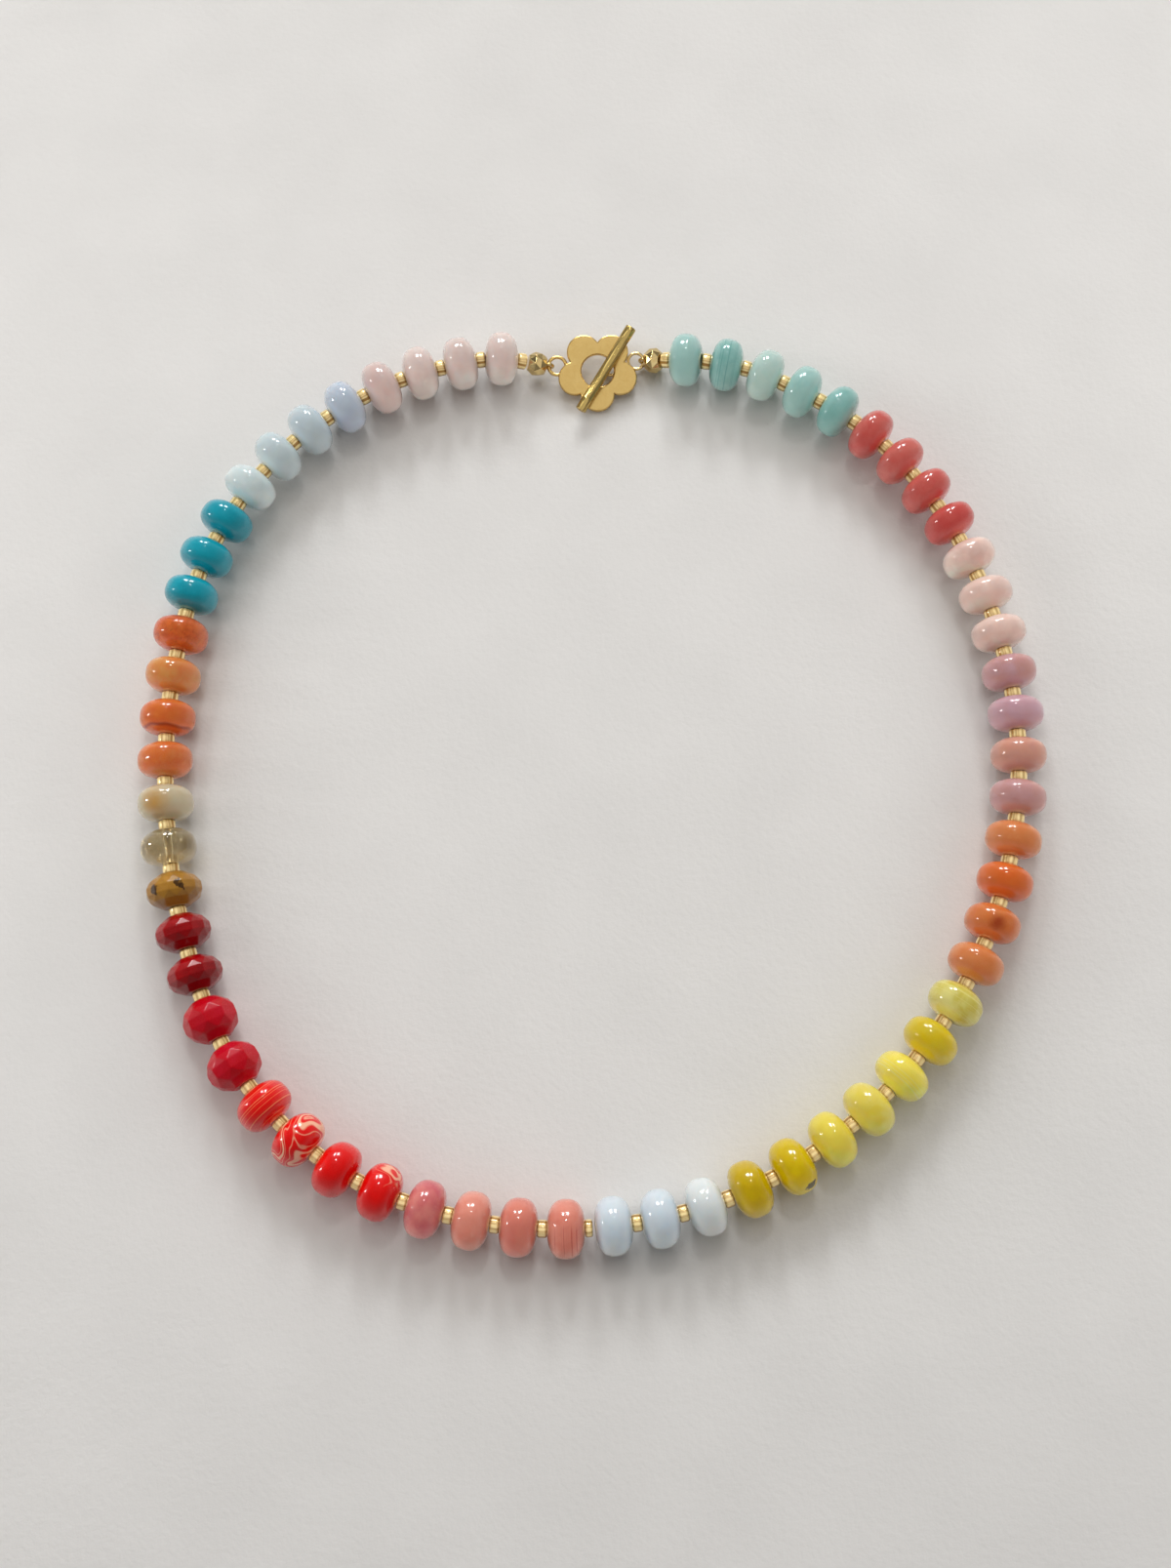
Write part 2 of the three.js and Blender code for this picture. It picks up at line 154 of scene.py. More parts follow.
# %% Runs of stones, from the clasp's left side round to its right
STONE_RUNS = [
    {"stone": "rose_quartz", "count": 4, "length": 0.97, "width": 1.0},
    {"stone": "pale_blue", "count": 4, "length": 0.99, "width": 0.99},
    {"stone": "turquoise", "count": 3, "length": 0.97, "width": 0.99},
    {"stone": "carnelian", "count": 4, "length": 0.99, "width": 1.0},
    {"stone": "agate", "count": 2, "length": 1.01, "width": 1.0},
    {"stone": "garnet", "count": 3, "length": 0.97, "width": 0.99, "facets": 12, "rounding": 0.1},
    {"stone": "red_facets", "count": 2, "length": 1.18, "width": 0.97, "facets": 9, "rounding": 0.32},
    {"stone": "red_jasper", "count": 4, "length": 1.06, "width": 1.0},
    {"stone": "salmon", "count": 4, "length": 1.01, "width": 1.0},
    {"stone": "ice_blue", "count": 3, "length": 1.0, "width": 1.0},
    {"stone": "mustard", "count": 4, "length": 1.03, "width": 1.0},
    {"stone": "lemon", "count": 3, "length": 0.99, "width": 0.99},
    {"stone": "orange", "count": 4, "length": 0.97, "width": 1.0},
    {"stone": "mauve", "count": 4, "length": 0.96, "width": 1.0},
    {"stone": "pale_pink", "count": 3, "length": 0.94, "width": 0.99},
    {"stone": "coral", "count": 4, "length": 0.93, "width": 0.99},
    {"stone": "amazonite", "count": 5, "length": 0.95, "width": 0.98},
]

stones = []
for run in STONE_RUNS:
    for place_in_run in range(run["count"]):
        stones.append(dict(run, order=place_in_run + 1))
for stone in stones:
    stone["length"] *= BEAD_LENGTH
    stone["width"] *= BEAD_WIDTH
print("stones:", len(stones), "of", len(STONE_RUNS), "kinds")

# %% [markdown]
# ## The route's chosen points
# The necklace lies in one loose round. The first point is the middle of the clasp, and the rest are
# the string's points from the clasp's left side round to its right.

# %% Chosen points, in millimetres
CLASP_PLACE, *STRING_ROUTE = [
    (5.56, 63.65),
    (-9.0, 65.6), (-15.0, 65.2), (-27.0, 62.0), (-42.5, 52.1), (-53.5, 36.6), (-58.5, 18.6),
    (-59.6, 0.0), (-57.3, -18.7), (-50.2, -38.0), (-36.5, -52.6), (-18.7, -60.3), (0.3, -62.1),
    (18.8, -58.4), (35.9, -48.6), (49.1, -34.8), (57.6, -18.5), (61.6, -0.3), (60.7, 18.1),
    (55.3, 35.3), (45.2, 49.9), (30.4, 60.4), (24.6, 62.5), (18.7, 63.6),
]
print("route:", len(STRING_ROUTE), "points")

# %% [markdown]
# ## The clasp's own frame
# The flower plate doesn't lie flat. Its lowest petal touches the table and its far edge is propped
# up by the link beneath it, so it leans 14 degrees toward the viewer. Everything on the clasp is
# easier to place in the plate's own frame: X and Y in the plate, Z off its face.

# %% Plan of the clasp
def polar(radius, degrees):
    return Vector((radius * math.cos(math.radians(degrees)), radius * math.sin(math.radians(degrees))))


HALF_PETAL = math.pi / PETALS
notch_across = PETAL_OFFSET * math.sin(HALF_PETAL)
NOTCH_RADIUS = PETAL_OFFSET * math.cos(HALF_PETAL) + math.sqrt(PETAL_RADIUS**2 - notch_across**2)

lean = math.radians(CLASP_LEAN)
clasp_height = PLATE_THICKNESS / 2 * math.cos(lean) + (PETAL_OFFSET + PETAL_RADIUS) * math.sin(lean)
clasp_frame = (
    Matrix.Translation((*CLASP_PLACE, clasp_height))
    @ Matrix.Rotation(lean, 4, "X")
    @ Matrix.Rotation(math.radians(CLASP_TURN), 4, "Z")
)

ring_middle = polar(NOTCH_RADIUS + RING_STANDOFF + RING_WIDTH / 2, RING_DIRECTION)
eye_reach = polar(EYE_WIDTH / 2, BAR_TURN)
eye_inside = WINDOW_RADIUS - EYE_WIRE / 2 - EYE_CLEARANCE
bar_middle = Vector((math.sqrt(eye_inside**2 - eye_reach.y**2) - eye_reach.x, 0))
link_radius = (LINK_EYE_WIDTH - LINK_WIRE) / 2
link_eye = (
    bar_middle
    + polar(math.sqrt(link_radius**2 - LINK_EYE_OFFSET**2), BAR_TURN)
    + polar(LINK_EYE_OFFSET, BAR_TURN - 90)
)
link_loop = polar(NOTCH_RADIUS + LINK_STANDOFF + LINK_LOOP_WIDTH / 2, LINK_DIRECTION)
LINK_DEPTH = -(PLATE_THICKNESS / 2 + SEAT_GAP + LINK_WIRE / 2)
BAR_HEIGHT = PLATE_THICKNESS / 2 + SEAT_GAP + BAR_WIDTH / 2
left_anchor = clasp_frame @ Vector((ring_middle.x - (RING_WIDTH - RING_WIRE) / 2, ring_middle.y, 0))
right_anchor = clasp_frame @ Vector(
    (link_loop.x + (LINK_LOOP_WIDTH - LINK_WIRE) / 2, link_loop.y, LINK_DEPTH)
)
print("plate leans", CLASP_LEAN, "degrees, its middle is", round(clasp_height, 2), "mm up")

# %% [markdown]
# The frame's origin lies under the middle of the necklace, and the route is written from another
# point. The shift between them could be typed in, but here the bar and the string say it: where they
# stand in the frame, against where the sizes above put them.

# %% From the route's origin to the frame's
bar_low, bar_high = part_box("toggle_bar")
string_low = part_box("bead_string_right")[0]
bar_place = clasp_frame @ Vector((bar_middle.x, bar_middle.y, BAR_HEIGHT))
to_frame = Matrix.Translation(
    (
        (bar_low[0] + bar_high[0]) / 2 - bar_place.x * MM,
        (bar_low[1] + bar_high[1]) / 2 - bar_place.y * MM,
        string_low[2],
    )
) @ Matrix.Scale(MM, 4)
print("shift to the frame, mm:", [round(value / MM, 3) for value in to_frame.translation])

# %% [markdown]
# ## The string's route
# The string is drawn through its chosen points at the height of the stones' middles. A Bezier curve
# object could carry it, but each bead has to know its exact distance along the string, so the curve
# is worked out here. A centripetal Catmull-Rom curve passes through its points without the loops
# that a plain one makes where points crowd. The points are drawn in or out together until the curve
# is exactly as long as all the stones, seeds and ends that it carries, as a real string is.

# %% A smooth curve through points
ROUTE_STEPS = 1500


def cubic_between(before, start, end, after):
    """The four factors of one stretch of a centripetal Catmull-Rom curve."""
    first = (start - before).length_squared ** 0.25
    middle = (end - start).length_squared ** 0.25
    last = (after - end).length_squared ** 0.25
    leave = ((start - before) / first - (end - before) / (first + middle) + (end - start) / middle) * middle
    reach = ((end - start) / middle - (after - start) / (middle + last) + (after - end) / last) * middle
    return start, leave, -3 * start + 3 * end - 2 * leave - reach, 2 * start - 2 * end + leave + reach


def route_through(points):
    """A function that gives the curve's point at a share from 0 to 1."""
    ghosts = [2 * points[0] - points[1], *points, 2 * points[-1] - points[-2]]
    pieces = [cubic_between(*ghosts[i : i + 4]) for i in range(len(points) - 1)]

    def point_at(share):
        reach = min(max(share, 0.0), 1.0) * len(pieces)
        index = min(int(reach), len(pieces) - 1)
        t = reach - index
        a, b, c, d = pieces[index]
        return a + b * t + c * t**2 + d * t**3

    return point_at


def route_drawn(share):
    """The curve with its chosen points drawn in or out, and its lengths from the start."""
    middle = [Vector((x * share, y * share, BEAD_WIDTH / 2)) for x, y in STRING_ROUTE]
    curve = route_through([left_anchor, *middle, right_anchor])
    reached = [0.0]
    last = curve(0)
    for step in range(1, ROUTE_STEPS + 1):
        point = curve(step / ROUTE_STEPS)
        reached.append(reached[-1] + (point - last).length)
        last = point
    return curve, reached


# %% Lengths that the string carries
mouth_side = LOOP_GAP + RING_WIRE / 2
ends_share = sum(mouth_side + end["length"] + SEAT_GAP for end in (END_BEAD_LEFT, END_BEAD_RIGHT))
string_length = ends_share + SEED_LENGTH * (len(stones) + 1) + sum(stone["length"] for stone in stones)

HALVINGS = 24
low_share, high_share = 0.5, 2.0
for _ in range(HALVINGS):
    share = (low_share + high_share) / 2
    if route_drawn(share)[1][-1] < string_length:
        low_share = share
    else:
        high_share = share
route, route_lengths = route_drawn((low_share + high_share) / 2)
print("string:", round(string_length, 1), "mm, chosen points drawn by", round(share, 4))

# %% [markdown]
# A piece on the string has its own frame there: Y runs along the string, Z points up and X to the
# side. `string_pose` finds it at a distance along the string, so that stones can be made lying
# straight at the origin and then put in place.

# %% Places along the string
SHORT_WAY = 1e-4


def curve_share(place):
    """Where on the curve a distance along the string falls, as a share from 0 to 1."""
    low, high = 0, ROUTE_STEPS
    while high - low > 1:
        middle = (low + high) // 2
        if route_lengths[middle] < place:
            low = middle
        else:
            high = middle
    step = (place - route_lengths[low]) / (route_lengths[high] - route_lengths[low])
    return (low + min(max(step, 0.0), 1.0)) / ROUTE_STEPS


def string_pose(place):
    """The frame of a piece at a distance along the string."""
    share = curve_share(place)
    ahead, behind = route(min(share + SHORT_WAY, 1.0)), route(max(share - SHORT_WAY, 0.0))
    along = (ahead - behind).normalized()
    side = along.cross(Vector((0, 0, 1))).normalized()
    up = side.cross(along)
    pose = Matrix((side, along, up)).transposed().to_4x4()
    pose.translation = route(share)
    return to_frame @ pose


# %% Stones and seeds in their order
seeds = []
place = mouth_side + END_BEAD_LEFT["length"] + SEAT_GAP
seeds.append({"start": place, "length": SEED_LENGTH, "string": "left"})
place += SEED_LENGTH
for index, stone in enumerate(stones):
    string = "left" if index < LEFT_STONES else "right"
    stone["string"] = string
    stone["place"] = place + stone["length"] / 2
    place += stone["length"]
    meeting = SEAT_GAP if index == LEFT_STONES - 1 else 0.0
    seeds.append({"start": place, "length": SEED_LENGTH - meeting, "string": string})
    place += SEED_LENGTH
print("seed beads:", len(seeds), "last one ends at", round(place, 1), "mm")

# %% [markdown]
# ## Making meshes
# Most pieces here are turned on a lathe: a profile of radius and place along the axis goes round Y.
# A screw modifier could turn the profile too. Here the faces are made from rings of points, so that
# each mesh is closed, its faces are even, and a ring may be turned against the next to make facets.

# %% A mesh from rings of points
def mesh_object(name, points, faces, scale=MM):
    mesh = bpy.data.meshes.new(name)
    mesh.from_pydata([tuple(value * scale for value in point) for point in points], [], faces)
    mesh.update()
    piece = bpy.data.objects.new(name, mesh)
    bpy.context.scene.collection.objects.link(piece)
    return piece


def bridged(rings, closed, twist=0, slanted=()):
    """Points and faces between rings with as many points each.

    Closed joins the last ring to the first, which may lie a twist of whole sides away. A step
    between two rings that is named as slanted gets two three-sided facets to each side.
    """
    sides = len(rings[0])
    points = [point for ring in rings for point in ring]
    faces = []
    for index in range(len(rings) if closed else len(rings) - 1):
        here, there = index * sides, (index + 1) % len(rings) * sides
        ahead = twist if index == len(rings) - 1 else 0
        for side in range(sides):
            a, d = here + side, here + (side + 1) % sides
            b, c = there + (side + ahead) % sides, there + (side + ahead + 1) % sides
            faces += [(a, b, d), (b, c, d)] if index in slanted else [(a, b, c, d)]
    if not closed:
        faces.append(tuple(range(sides)))
        faces.append(tuple(reversed(range(len(points) - sides, len(points)))))
    return points, faces


def turned_rings(profile, sides, turns=None):
    """Rings round Y from a profile of (radius, along). A turn shifts a ring by a share of one side."""
    rings = []
    for index, (radius, along) in enumerate(profile):
        turn = turns[index] if turns else 0.0
        angles = [2 * math.pi * (side + turn) / sides for side in range(sides)]
        rings.append([(radius * math.sin(a), along, radius * math.cos(a)) for a in angles])
    return rings


# %% [markdown]
# The clasp's rings and the link are bent from round wire. A torus primitive would give the same ring,
# but the rings of points above also give its short straight pieces, and all of them close. Where gold
# is soldered, a union of closed meshes makes one body of them.

# %% Wire rings and rods
WIRE_STEPS = 48
WIRE_SIDES = 14
ROD_SIDES = 20


def wire_ring(name, width, wire):
    """A round wire ring in its own XY plane."""
    middle, radius = (width - wire) / 2, wire / 2
    rings = []
    for step in range(WIRE_STEPS):
        turn = 2 * math.pi * step / WIRE_STEPS
        ring = []
        for side in range(WIRE_SIDES):
            angle = 2 * math.pi * side / WIRE_SIDES
            reach = middle + radius * math.cos(angle)
            ring.append((reach * math.cos(turn), reach * math.sin(turn), radius * math.sin(angle)))
        rings.append(ring)
    return mesh_object(name, *bridged(rings, True), scale=1.0)


def rod(name, start, end, radius):
    """A round rod between two points."""
    axis = end - start
    points, faces = bridged(turned_rings([(radius, 0.0), (radius, axis.length)], ROD_SIDES), False)
    piece = mesh_object(name, points, faces, scale=1.0)
    turn = Vector((0, 1, 0)).rotation_difference(axis.normalized()).to_matrix().to_4x4()
    piece.data.transform(Matrix.Translation(start) @ turn)
    return piece


# %% Solder
def outward(mesh):
    """Turns all faces of a closed mesh outward."""
    work = bmesh.new()
    work.from_mesh(mesh)
    bmesh.ops.recalc_face_normals(work, faces=work.faces)
    work.to_mesh(mesh)
    work.free()


def union(name, pieces):
    """One closed body out of several that overlap. The pieces themselves go."""
    for piece in pieces:
        outward(piece.data)
    base = pieces[0]
    for other in pieces[1:]:
        cut = base.modifiers.new("union", "BOOLEAN")
        cut.operation = "UNION"
        cut.solver = "EXACT"
        cut.object = other
    graph = bpy.context.evaluated_depsgraph_get()
    mesh = bpy.data.meshes.new_from_object(base.evaluated_get(graph))
    mesh.name = name
    for piece in pieces:
        bpy.data.objects.remove(piece)
    joined = bpy.data.objects.new(name, mesh)
    bpy.context.scene.collection.objects.link(joined)
    return joined


# %% [markdown]
# Turned pieces are shaded smoothly and keep their few hard edges. Facets keep all of theirs, and a
# narrow bevel rounds them as polishing does, because an edge that catches no light looks cut from
# paper.

# %% Soft and hard edges, and what a piece stands for
def smooth_to(piece, degrees):
    """Shades faces smoothly, but keeps edges sharper than this angle crisp."""
    piece.data.shade_smooth()
    piece.data.set_sharp_from_angle(angle=math.radians(degrees))


def rounded_edges(piece, width, segments, degrees):
    """Rounds the edges between faces that meet at more than this angle. The width is in mm."""
    bevel = piece.modifiers.new("rounded edges", "BEVEL")
    bevel.width = width * MM
    bevel.segments = segments
    bevel.limit_method = "ANGLE"
    bevel.angle_limit = math.radians(degrees)
    bevel.harden_normals = True


def belongs(piece, node):
    """The piece stands for a CAD node and moves with the necklace."""
    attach(piece, "root")
    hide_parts(node)


# %% [markdown]
# ## Node helpers
# A material is a small tree of nodes. `add_node` makes one node, and takes either a plain value or
# another node's socket for each of its inputs, so each line reads as one step of the recipe. `feed`
# does the same for a node that is there already, such as a material's shader. The recipes could be
# drawn by hand in the shader editor, but written down they can be read, repeated and changed.

# %% Nodes
NODE_SPACING = 180


def feed(tree, node, values):
    """Gives each named input a plain value, or a link from another node's socket."""
    for key, value in values.items():
        if isinstance(value, bpy.types.NodeSocket):
            tree.links.new(value, node.inputs[key])
        else:
            node.inputs[key].default_value = value


def add_node(tree, kind, values=None, **settings):
    node = tree.nodes.new("ShaderNode" + kind)
    node.location = (len(tree.nodes) * NODE_SPACING, 0)
    for key, value in settings.items():
        setattr(node, key, value)
    feed(tree, node, values or {})
    return node


# %% [markdown]
# `effect_group` starts a group that several materials share, with its named inputs and outputs, and
# `effect` places it in a material. A copy of the nodes in each material would look the same, but then
# a change would have to be made sixty times.

# %% Groups
def effect_group(name, inputs, outputs):
    """An empty node group, what it is given, and where its results go."""
    group = bpy.data.node_groups.new(name, "ShaderNodeTree")
    for title, kind, value in inputs:
        socket = group.interface.new_socket(title, in_out="INPUT", socket_type="NodeSocket" + kind)
        if value is not None:
            socket.default_value = value
    for title, kind in outputs:
        group.interface.new_socket(title, in_out="OUTPUT", socket_type="NodeSocket" + kind)
    entry = group.nodes.new("NodeGroupInput")
    leave = group.nodes.new("NodeGroupOutput")
    print("group:", name)
    return group, entry.outputs, leave.inputs


def effect(tree, group, values):
    return add_node(tree, "Group", values, node_tree=group)


# %% Shorthands for nodes
def arithmetic(tree, operation, *values):
    return add_node(tree, "Math", dict(enumerate(values)), operation=operation).outputs[0]


def centred(tree, value):
    """A noise that swings about 0 instead of about its middle value."""
    return arithmetic(tree, "SUBTRACT", value, 0.5)


def per_mm(tree, size_mm):
    """The scale of a noise whose waves are this many millimetres long."""
    return arithmetic(tree, "DIVIDE", 1.0 / MM, size_mm)


def noise(tree, place, scale, detail, seed=None, **more):
    """A noise in space. A seed moves it in a fourth direction, so it is another noise each time."""
    values = {"Vector": place, "Scale": scale, "Detail": detail, **more}
    if seed is None:
        return add_node(tree, "TexNoise", values).outputs
    return add_node(tree, "TexNoise", {**values, "W": seed}, noise_dimensions="4D").outputs


def ramp(tree, value, low, high, start=0.0, end=1.0, kind="LINEAR"):
    """From start, where the value is low, to end, where it is high."""
    values = {"Value": value, "From Min": low, "From Max": high, "To Min": start, "To Max": end}
    return add_node(tree, "MapRange", values, interpolation_type=kind).outputs[0]


def blend_colours(tree, mask, first, second):
    """First where the mask is 0, second where it is 1."""
    return add_node(tree, "Mix", {0: mask, 6: first, 7: second}, data_type="RGBA").outputs[2]


# %% [markdown]
# ### Clouds in a stone
# Quartz, agate and carnelian are never one flat colour: paler and deeper patches drift through them.
# A noise that is warped by a second, slower noise gives such drifting patches. The seed shifts the
# noise in a fourth direction, so each stone is cut from another piece of rough.

# %% Group: stone clouds
clouds, given, result = effect_group(
    "stone clouds",
    [("Place", "Vector", None), ("Size mm", "Float", 3.0), ("Seed", "Float", 0.0),
     ("Softness", "Float", 0.2), ("Level", "Float", 0.5)],
    [("Mask", "Float")],
)
DRIFT = 4 * MM
scale = per_mm(clouds, given["Size mm"])
drift = noise(clouds, given["Place"], scale, 1.0, given["Seed"])["Color"]
drift_scaled = add_node(clouds, "VectorMath", {0: drift, "Scale": DRIFT}, operation="SCALE").outputs[0]
warped = add_node(clouds, "VectorMath", {0: given["Place"], 1: drift_scaled}, operation="ADD").outputs[0]
patches = noise(clouds, warped, scale, 4.0, given["Seed"], Roughness=0.55)[0]
soft_low = arithmetic(clouds, "SUBTRACT", given["Level"], given["Softness"])
soft_high = arithmetic(clouds, "ADD", given["Level"], given["Softness"])
spread = ramp(clouds, patches, soft_low, soft_high, kind="SMOOTHSTEP")
clouds.links.new(spread, result["Mask"])

# %% [markdown]
# ### Bands across the string
# Some stones are cut from banded rough, and their fine stripes lie across the string. A noise of one
# dimension along Y gives stripes of uneven width, and a little of a slow noise lets them waver.

# %% Group: stone bands
bands, given, result = effect_group(
    "stone bands",
    [("Place", "Vector", None), ("Spacing mm", "Float", 0.5), ("Seed", "Float", 0.0),
     ("Waver mm", "Float", 0.2), ("Level", "Float", 0.55)],
    [("Mask", "Float")],
)
SLOW_SCALE = 250.0
BAND_EDGE = 0.12
slow = noise(bands, given["Place"], SLOW_SCALE, 2.0, given["Seed"])[0]
waver = arithmetic(bands, "MULTIPLY", centred(bands, slow), given["Waver mm"])
along = add_node(bands, "SeparateXYZ", {0: given["Place"]}).outputs["Y"]
along_mm = arithmetic(bands, "ADD", arithmetic(bands, "DIVIDE", along, MM), waver)
step = arithmetic(bands, "ADD", arithmetic(bands, "DIVIDE", along_mm, given["Spacing mm"]), given["Seed"])
stripes = add_node(bands, "TexNoise", {"W": step, "Scale": 1.0, "Detail": 3.0}, noise_dimensions="1D")
stripe_high = arithmetic(bands, "ADD", given["Level"], BAND_EDGE)
edge = ramp(bands, stripes.outputs[0], given["Level"], stripe_high, kind="SMOOTHSTEP")
bands.links.new(edge, result["Mask"])

# %% [markdown]
# ### Specks
# Mineral grains show as small dark dots. Cells scattered in space have one centre each, and the
# distance to it makes the dot. Each cell's own random colour leaves some of them empty, so the dots
# stay few.

# %% Group: stone specks
specks, given, result = effect_group(
    "stone specks",
    [("Place", "Vector", None), ("Spacing mm", "Float", 1.0), ("Dot", "Float", 0.15),
     ("Seed", "Float", 0.0), ("Share", "Float", 0.4)],
    [("Mask", "Float")],
)
scale = per_mm(specks, given["Spacing mm"])
cells = add_node(specks, "TexVoronoi", {"Vector": given["Place"], "W": given["Seed"], "Scale": scale},
                 voronoi_dimensions="4D")
dot = ramp(specks, cells.outputs["Distance"], given["Dot"], arithmetic(specks, "MULTIPLY", given["Dot"], 0.5))
red = add_node(specks, "SeparateColor", {0: cells.outputs["Color"]}).outputs[0]
kept = arithmetic(specks, "LESS_THAN", red, given["Share"])
specks.links.new(arithmetic(specks, "MULTIPLY", dot, kept), result["Mask"])

# %% [markdown]
# ### Loops
# Swirled jasper shows loops, one inside the other, like the height lines of a map. That is how they
# are made here: a slow noise is the height, and each full step of it draws one broad line with a thin
# one at either side.

# %% Group: stone loops
loops, given, result = effect_group(
    "stone loops",
    [("Place", "Vector", None), ("Size mm", "Float", 6.0), ("Seed", "Float", 0.0), ("Steps", "Float", 6.0)],
    [("Mask", "Float")],
)
scale = per_mm(loops, given["Size mm"])
hills = noise(loops, given["Place"], scale, 2.0, given["Seed"], Roughness=0.35, Distortion=0.7)[0]
phase = arithmetic(loops, "FRACT", arithmetic(loops, "MULTIPLY", hills, given["Steps"]))
lines = add_node(loops, "ValToRGB", {0: phase})
LOOP_LINES = [(0.2, 0.0), (0.24, 0.7), (0.28, 0.0), (0.4, 0.0), (0.45, 1.0), (0.57, 1.0), (0.62, 0.0),
              (0.72, 0.0), (0.77, 0.8), (0.82, 0.0)]
points = lines.color_ramp.elements
points[0].position, points[0].color = 0.0, (0, 0, 0, 1)
points[1].position, points[1].color = 1.0, (0, 0, 0, 1)
for at, level in LOOP_LINES:
    points.new(at).color = (level, level, level, 1)
loops.links.new(lines.outputs[0], result["Mask"])

# %% [markdown]
# ### Patches
# A single inclusion lies at one place in the stone. The group marks all that is near that place, and
# a noise makes its edge ragged.

# %% Group: stone patch
patch, given, result = effect_group(
    "stone patch",
    [("Place", "Vector", None), ("Middle", "Vector", None), ("Radius mm", "Float", 1.0),
     ("Ragged mm", "Float", 1.0), ("Soft", "Float", 0.3)],
    [("Mask", "Float")],
)
TORN_SCALE = 1400.0
torn = noise(patch, given["Place"], TORN_SCALE, 3.0)[0]
ragged = arithmetic(patch, "MULTIPLY", centred(patch, torn), given["Ragged mm"])
gap = add_node(patch, "VectorMath", {0: given["Place"], 1: given["Middle"]}, operation="DISTANCE")
away_mm = arithmetic(patch, "ADD", arithmetic(patch, "DIVIDE", gap.outputs["Value"], MM), ragged)
core = arithmetic(patch, "MULTIPLY", given["Radius mm"], arithmetic(patch, "SUBTRACT", 1.0, given["Soft"]))
near = ramp(patch, away_mm, given["Radius mm"], core, kind="SMOOTHSTEP")
patch.links.new(near, result["Mask"])

# %% [markdown]
# ### Painted light gathered low in a stone
# A clear or milky stone works as a lens: light from the window enters near its top and gathers on the
# side away from the window. Scattering alone shows this too weakly at this size, so the group marks
# that side, and the stone's colour is painted lighter there as painted light.

# %% Group: gathered light
AWAY_FROM_WINDOW = (0.0, -1.0, 0.05)
FULL_LIFT = 0.9
gathered, given, result = effect_group("gathered light", [("Lift", "Float", 0.3)], [("Value", "Float")])
# The side whose normal faces away from the window gets the painted light.
facing = add_node(gathered, "NewGeometry").outputs["Normal"]
turned = add_node(gathered, "VectorMath", {0: facing, 1: AWAY_FROM_WINDOW}, operation="DOT_PRODUCT")
low_side = ramp(gathered, turned.outputs["Value"], 0.0, FULL_LIFT, kind="SMOOTHSTEP")
lifted = arithmetic(gathered, "MULTIPLY", low_side, given["Lift"])
gathered.links.new(arithmetic(gathered, "ADD", lifted, 1.0), result["Value"])

# %% [markdown]
# ### Polish
# A polished surface is nearly a mirror, but hand polishing leaves slow waves and faint rubbed
# patches. The group gives a roughness that wanders about a chosen value, and a height for the bump.

# %% Group: hand polish
polish, given, result = effect_group(
    "hand polish",
    [("Place", "Vector", None), ("Roughness", "Float", 0.1), ("Spread", "Float", 0.05),
     ("Wave mm", "Float", 1.5), ("Grain mm", "Float", 0.12), ("Grain share", "Float", 0.05)],
    [("Roughness", "Float"), ("Height", "Float")],
)
waves = noise(polish, given["Place"], per_mm(polish, given["Wave mm"]), 1.0)[0]
grain = noise(polish, given["Place"], per_mm(polish, given["Grain mm"]), 3.0)[0]
rubbed = arithmetic(polish, "MULTIPLY", centred(polish, grain), given["Spread"])
polish.links.new(arithmetic(polish, "ADD", rubbed, given["Roughness"]), result["Roughness"])
fine = arithmetic(polish, "MULTIPLY", grain, given["Grain share"])
polish.links.new(arithmetic(polish, "ADD", waves, fine), result["Height"])

# %% [markdown]
# ## Colours of the stones
# The palette holds the colours a lapidary would name, written as on a colour card and turned into
# the linear values that shaders take. Each stone is then one row: its ground, the cloud that drifts
# through it, how much of it, and the marks that it carries.

# %% Palette
PALETTE = {
    "rose": "CCB9B3", "rose light": "DCCFC8", "rose deep": "C8A8A4",
    "lavender blue": "B2BCCC", "milk blue": "B8C6CA", "sea milk": "C0CECF", "blue white": "DCE6E6",
    "turquoise": "109AAC", "turquoise deep": "0A7688",
    "carnelian": "CE6E2E", "carnelian pale": "CC7C48", "carnelian red": "C24A20", "rust": "8C2C10",
    "ochre": "C99A50", "fog": "D0C0A0", "fog light": "CAC6AA",
    "smoke": "CAB078", "smoke pale": "E2D8B8", "smoke brown": "A48A58",
    "brown": "885C20", "brown gold": "B0802C", "umber": "2E1A0C",
    "garnet": "980006", "garnet deep": "700006", "scarlet": "B4000C", "scarlet pink": "C81E3C",
    "jasper": "E60804", "jasper deep": "C40404", "vein cream": "F4B896", "stripe orange": "F48A5C",
    "salmon": "D07E6C", "salmon rose": "BF5660", "salmon light": "E29C8A", "blood": "A82018",
    "ice blue": "C3D0DA", "ice white": "D6DCDA",
    "mustard": "BC9E00", "mustard light": "D2B600", "ink": "171205",
    "yellow": "D8C444", "lemon": "E8D858", "lime": "C2B23C", "pale lime": "DDD78C",
    "orange": "C86A2C", "orange pale": "CE824E", "fire": "D06426", "brick": "9C3A14",
    "mauve": "BC8C86", "mauve rose": "C9927E", "lilac": "C09CA8", "plum": "8E6270",
    "blush": "D2B4AA", "blush light": "E8D0C4",
    "coral": "BE4843", "coral light": "C66A60",
    "amazon": "9EC2BC", "amazon light": "B6CCC4", "teal": "7CAEA8", "teal deep": "3E8884",
}


def linear(code):
    """A colour card's code as the linear values that a shader takes."""
    shares = [int(code[i : i + 2], 16) / 255 for i in (0, 2, 4)]
    bright = [((c + 0.055) / 1.055) ** 2.4 if c > 0.04045 else c / 12.92 for c in shares]
    return (*bright, 1.0)


print("colours:", len(PALETTE))

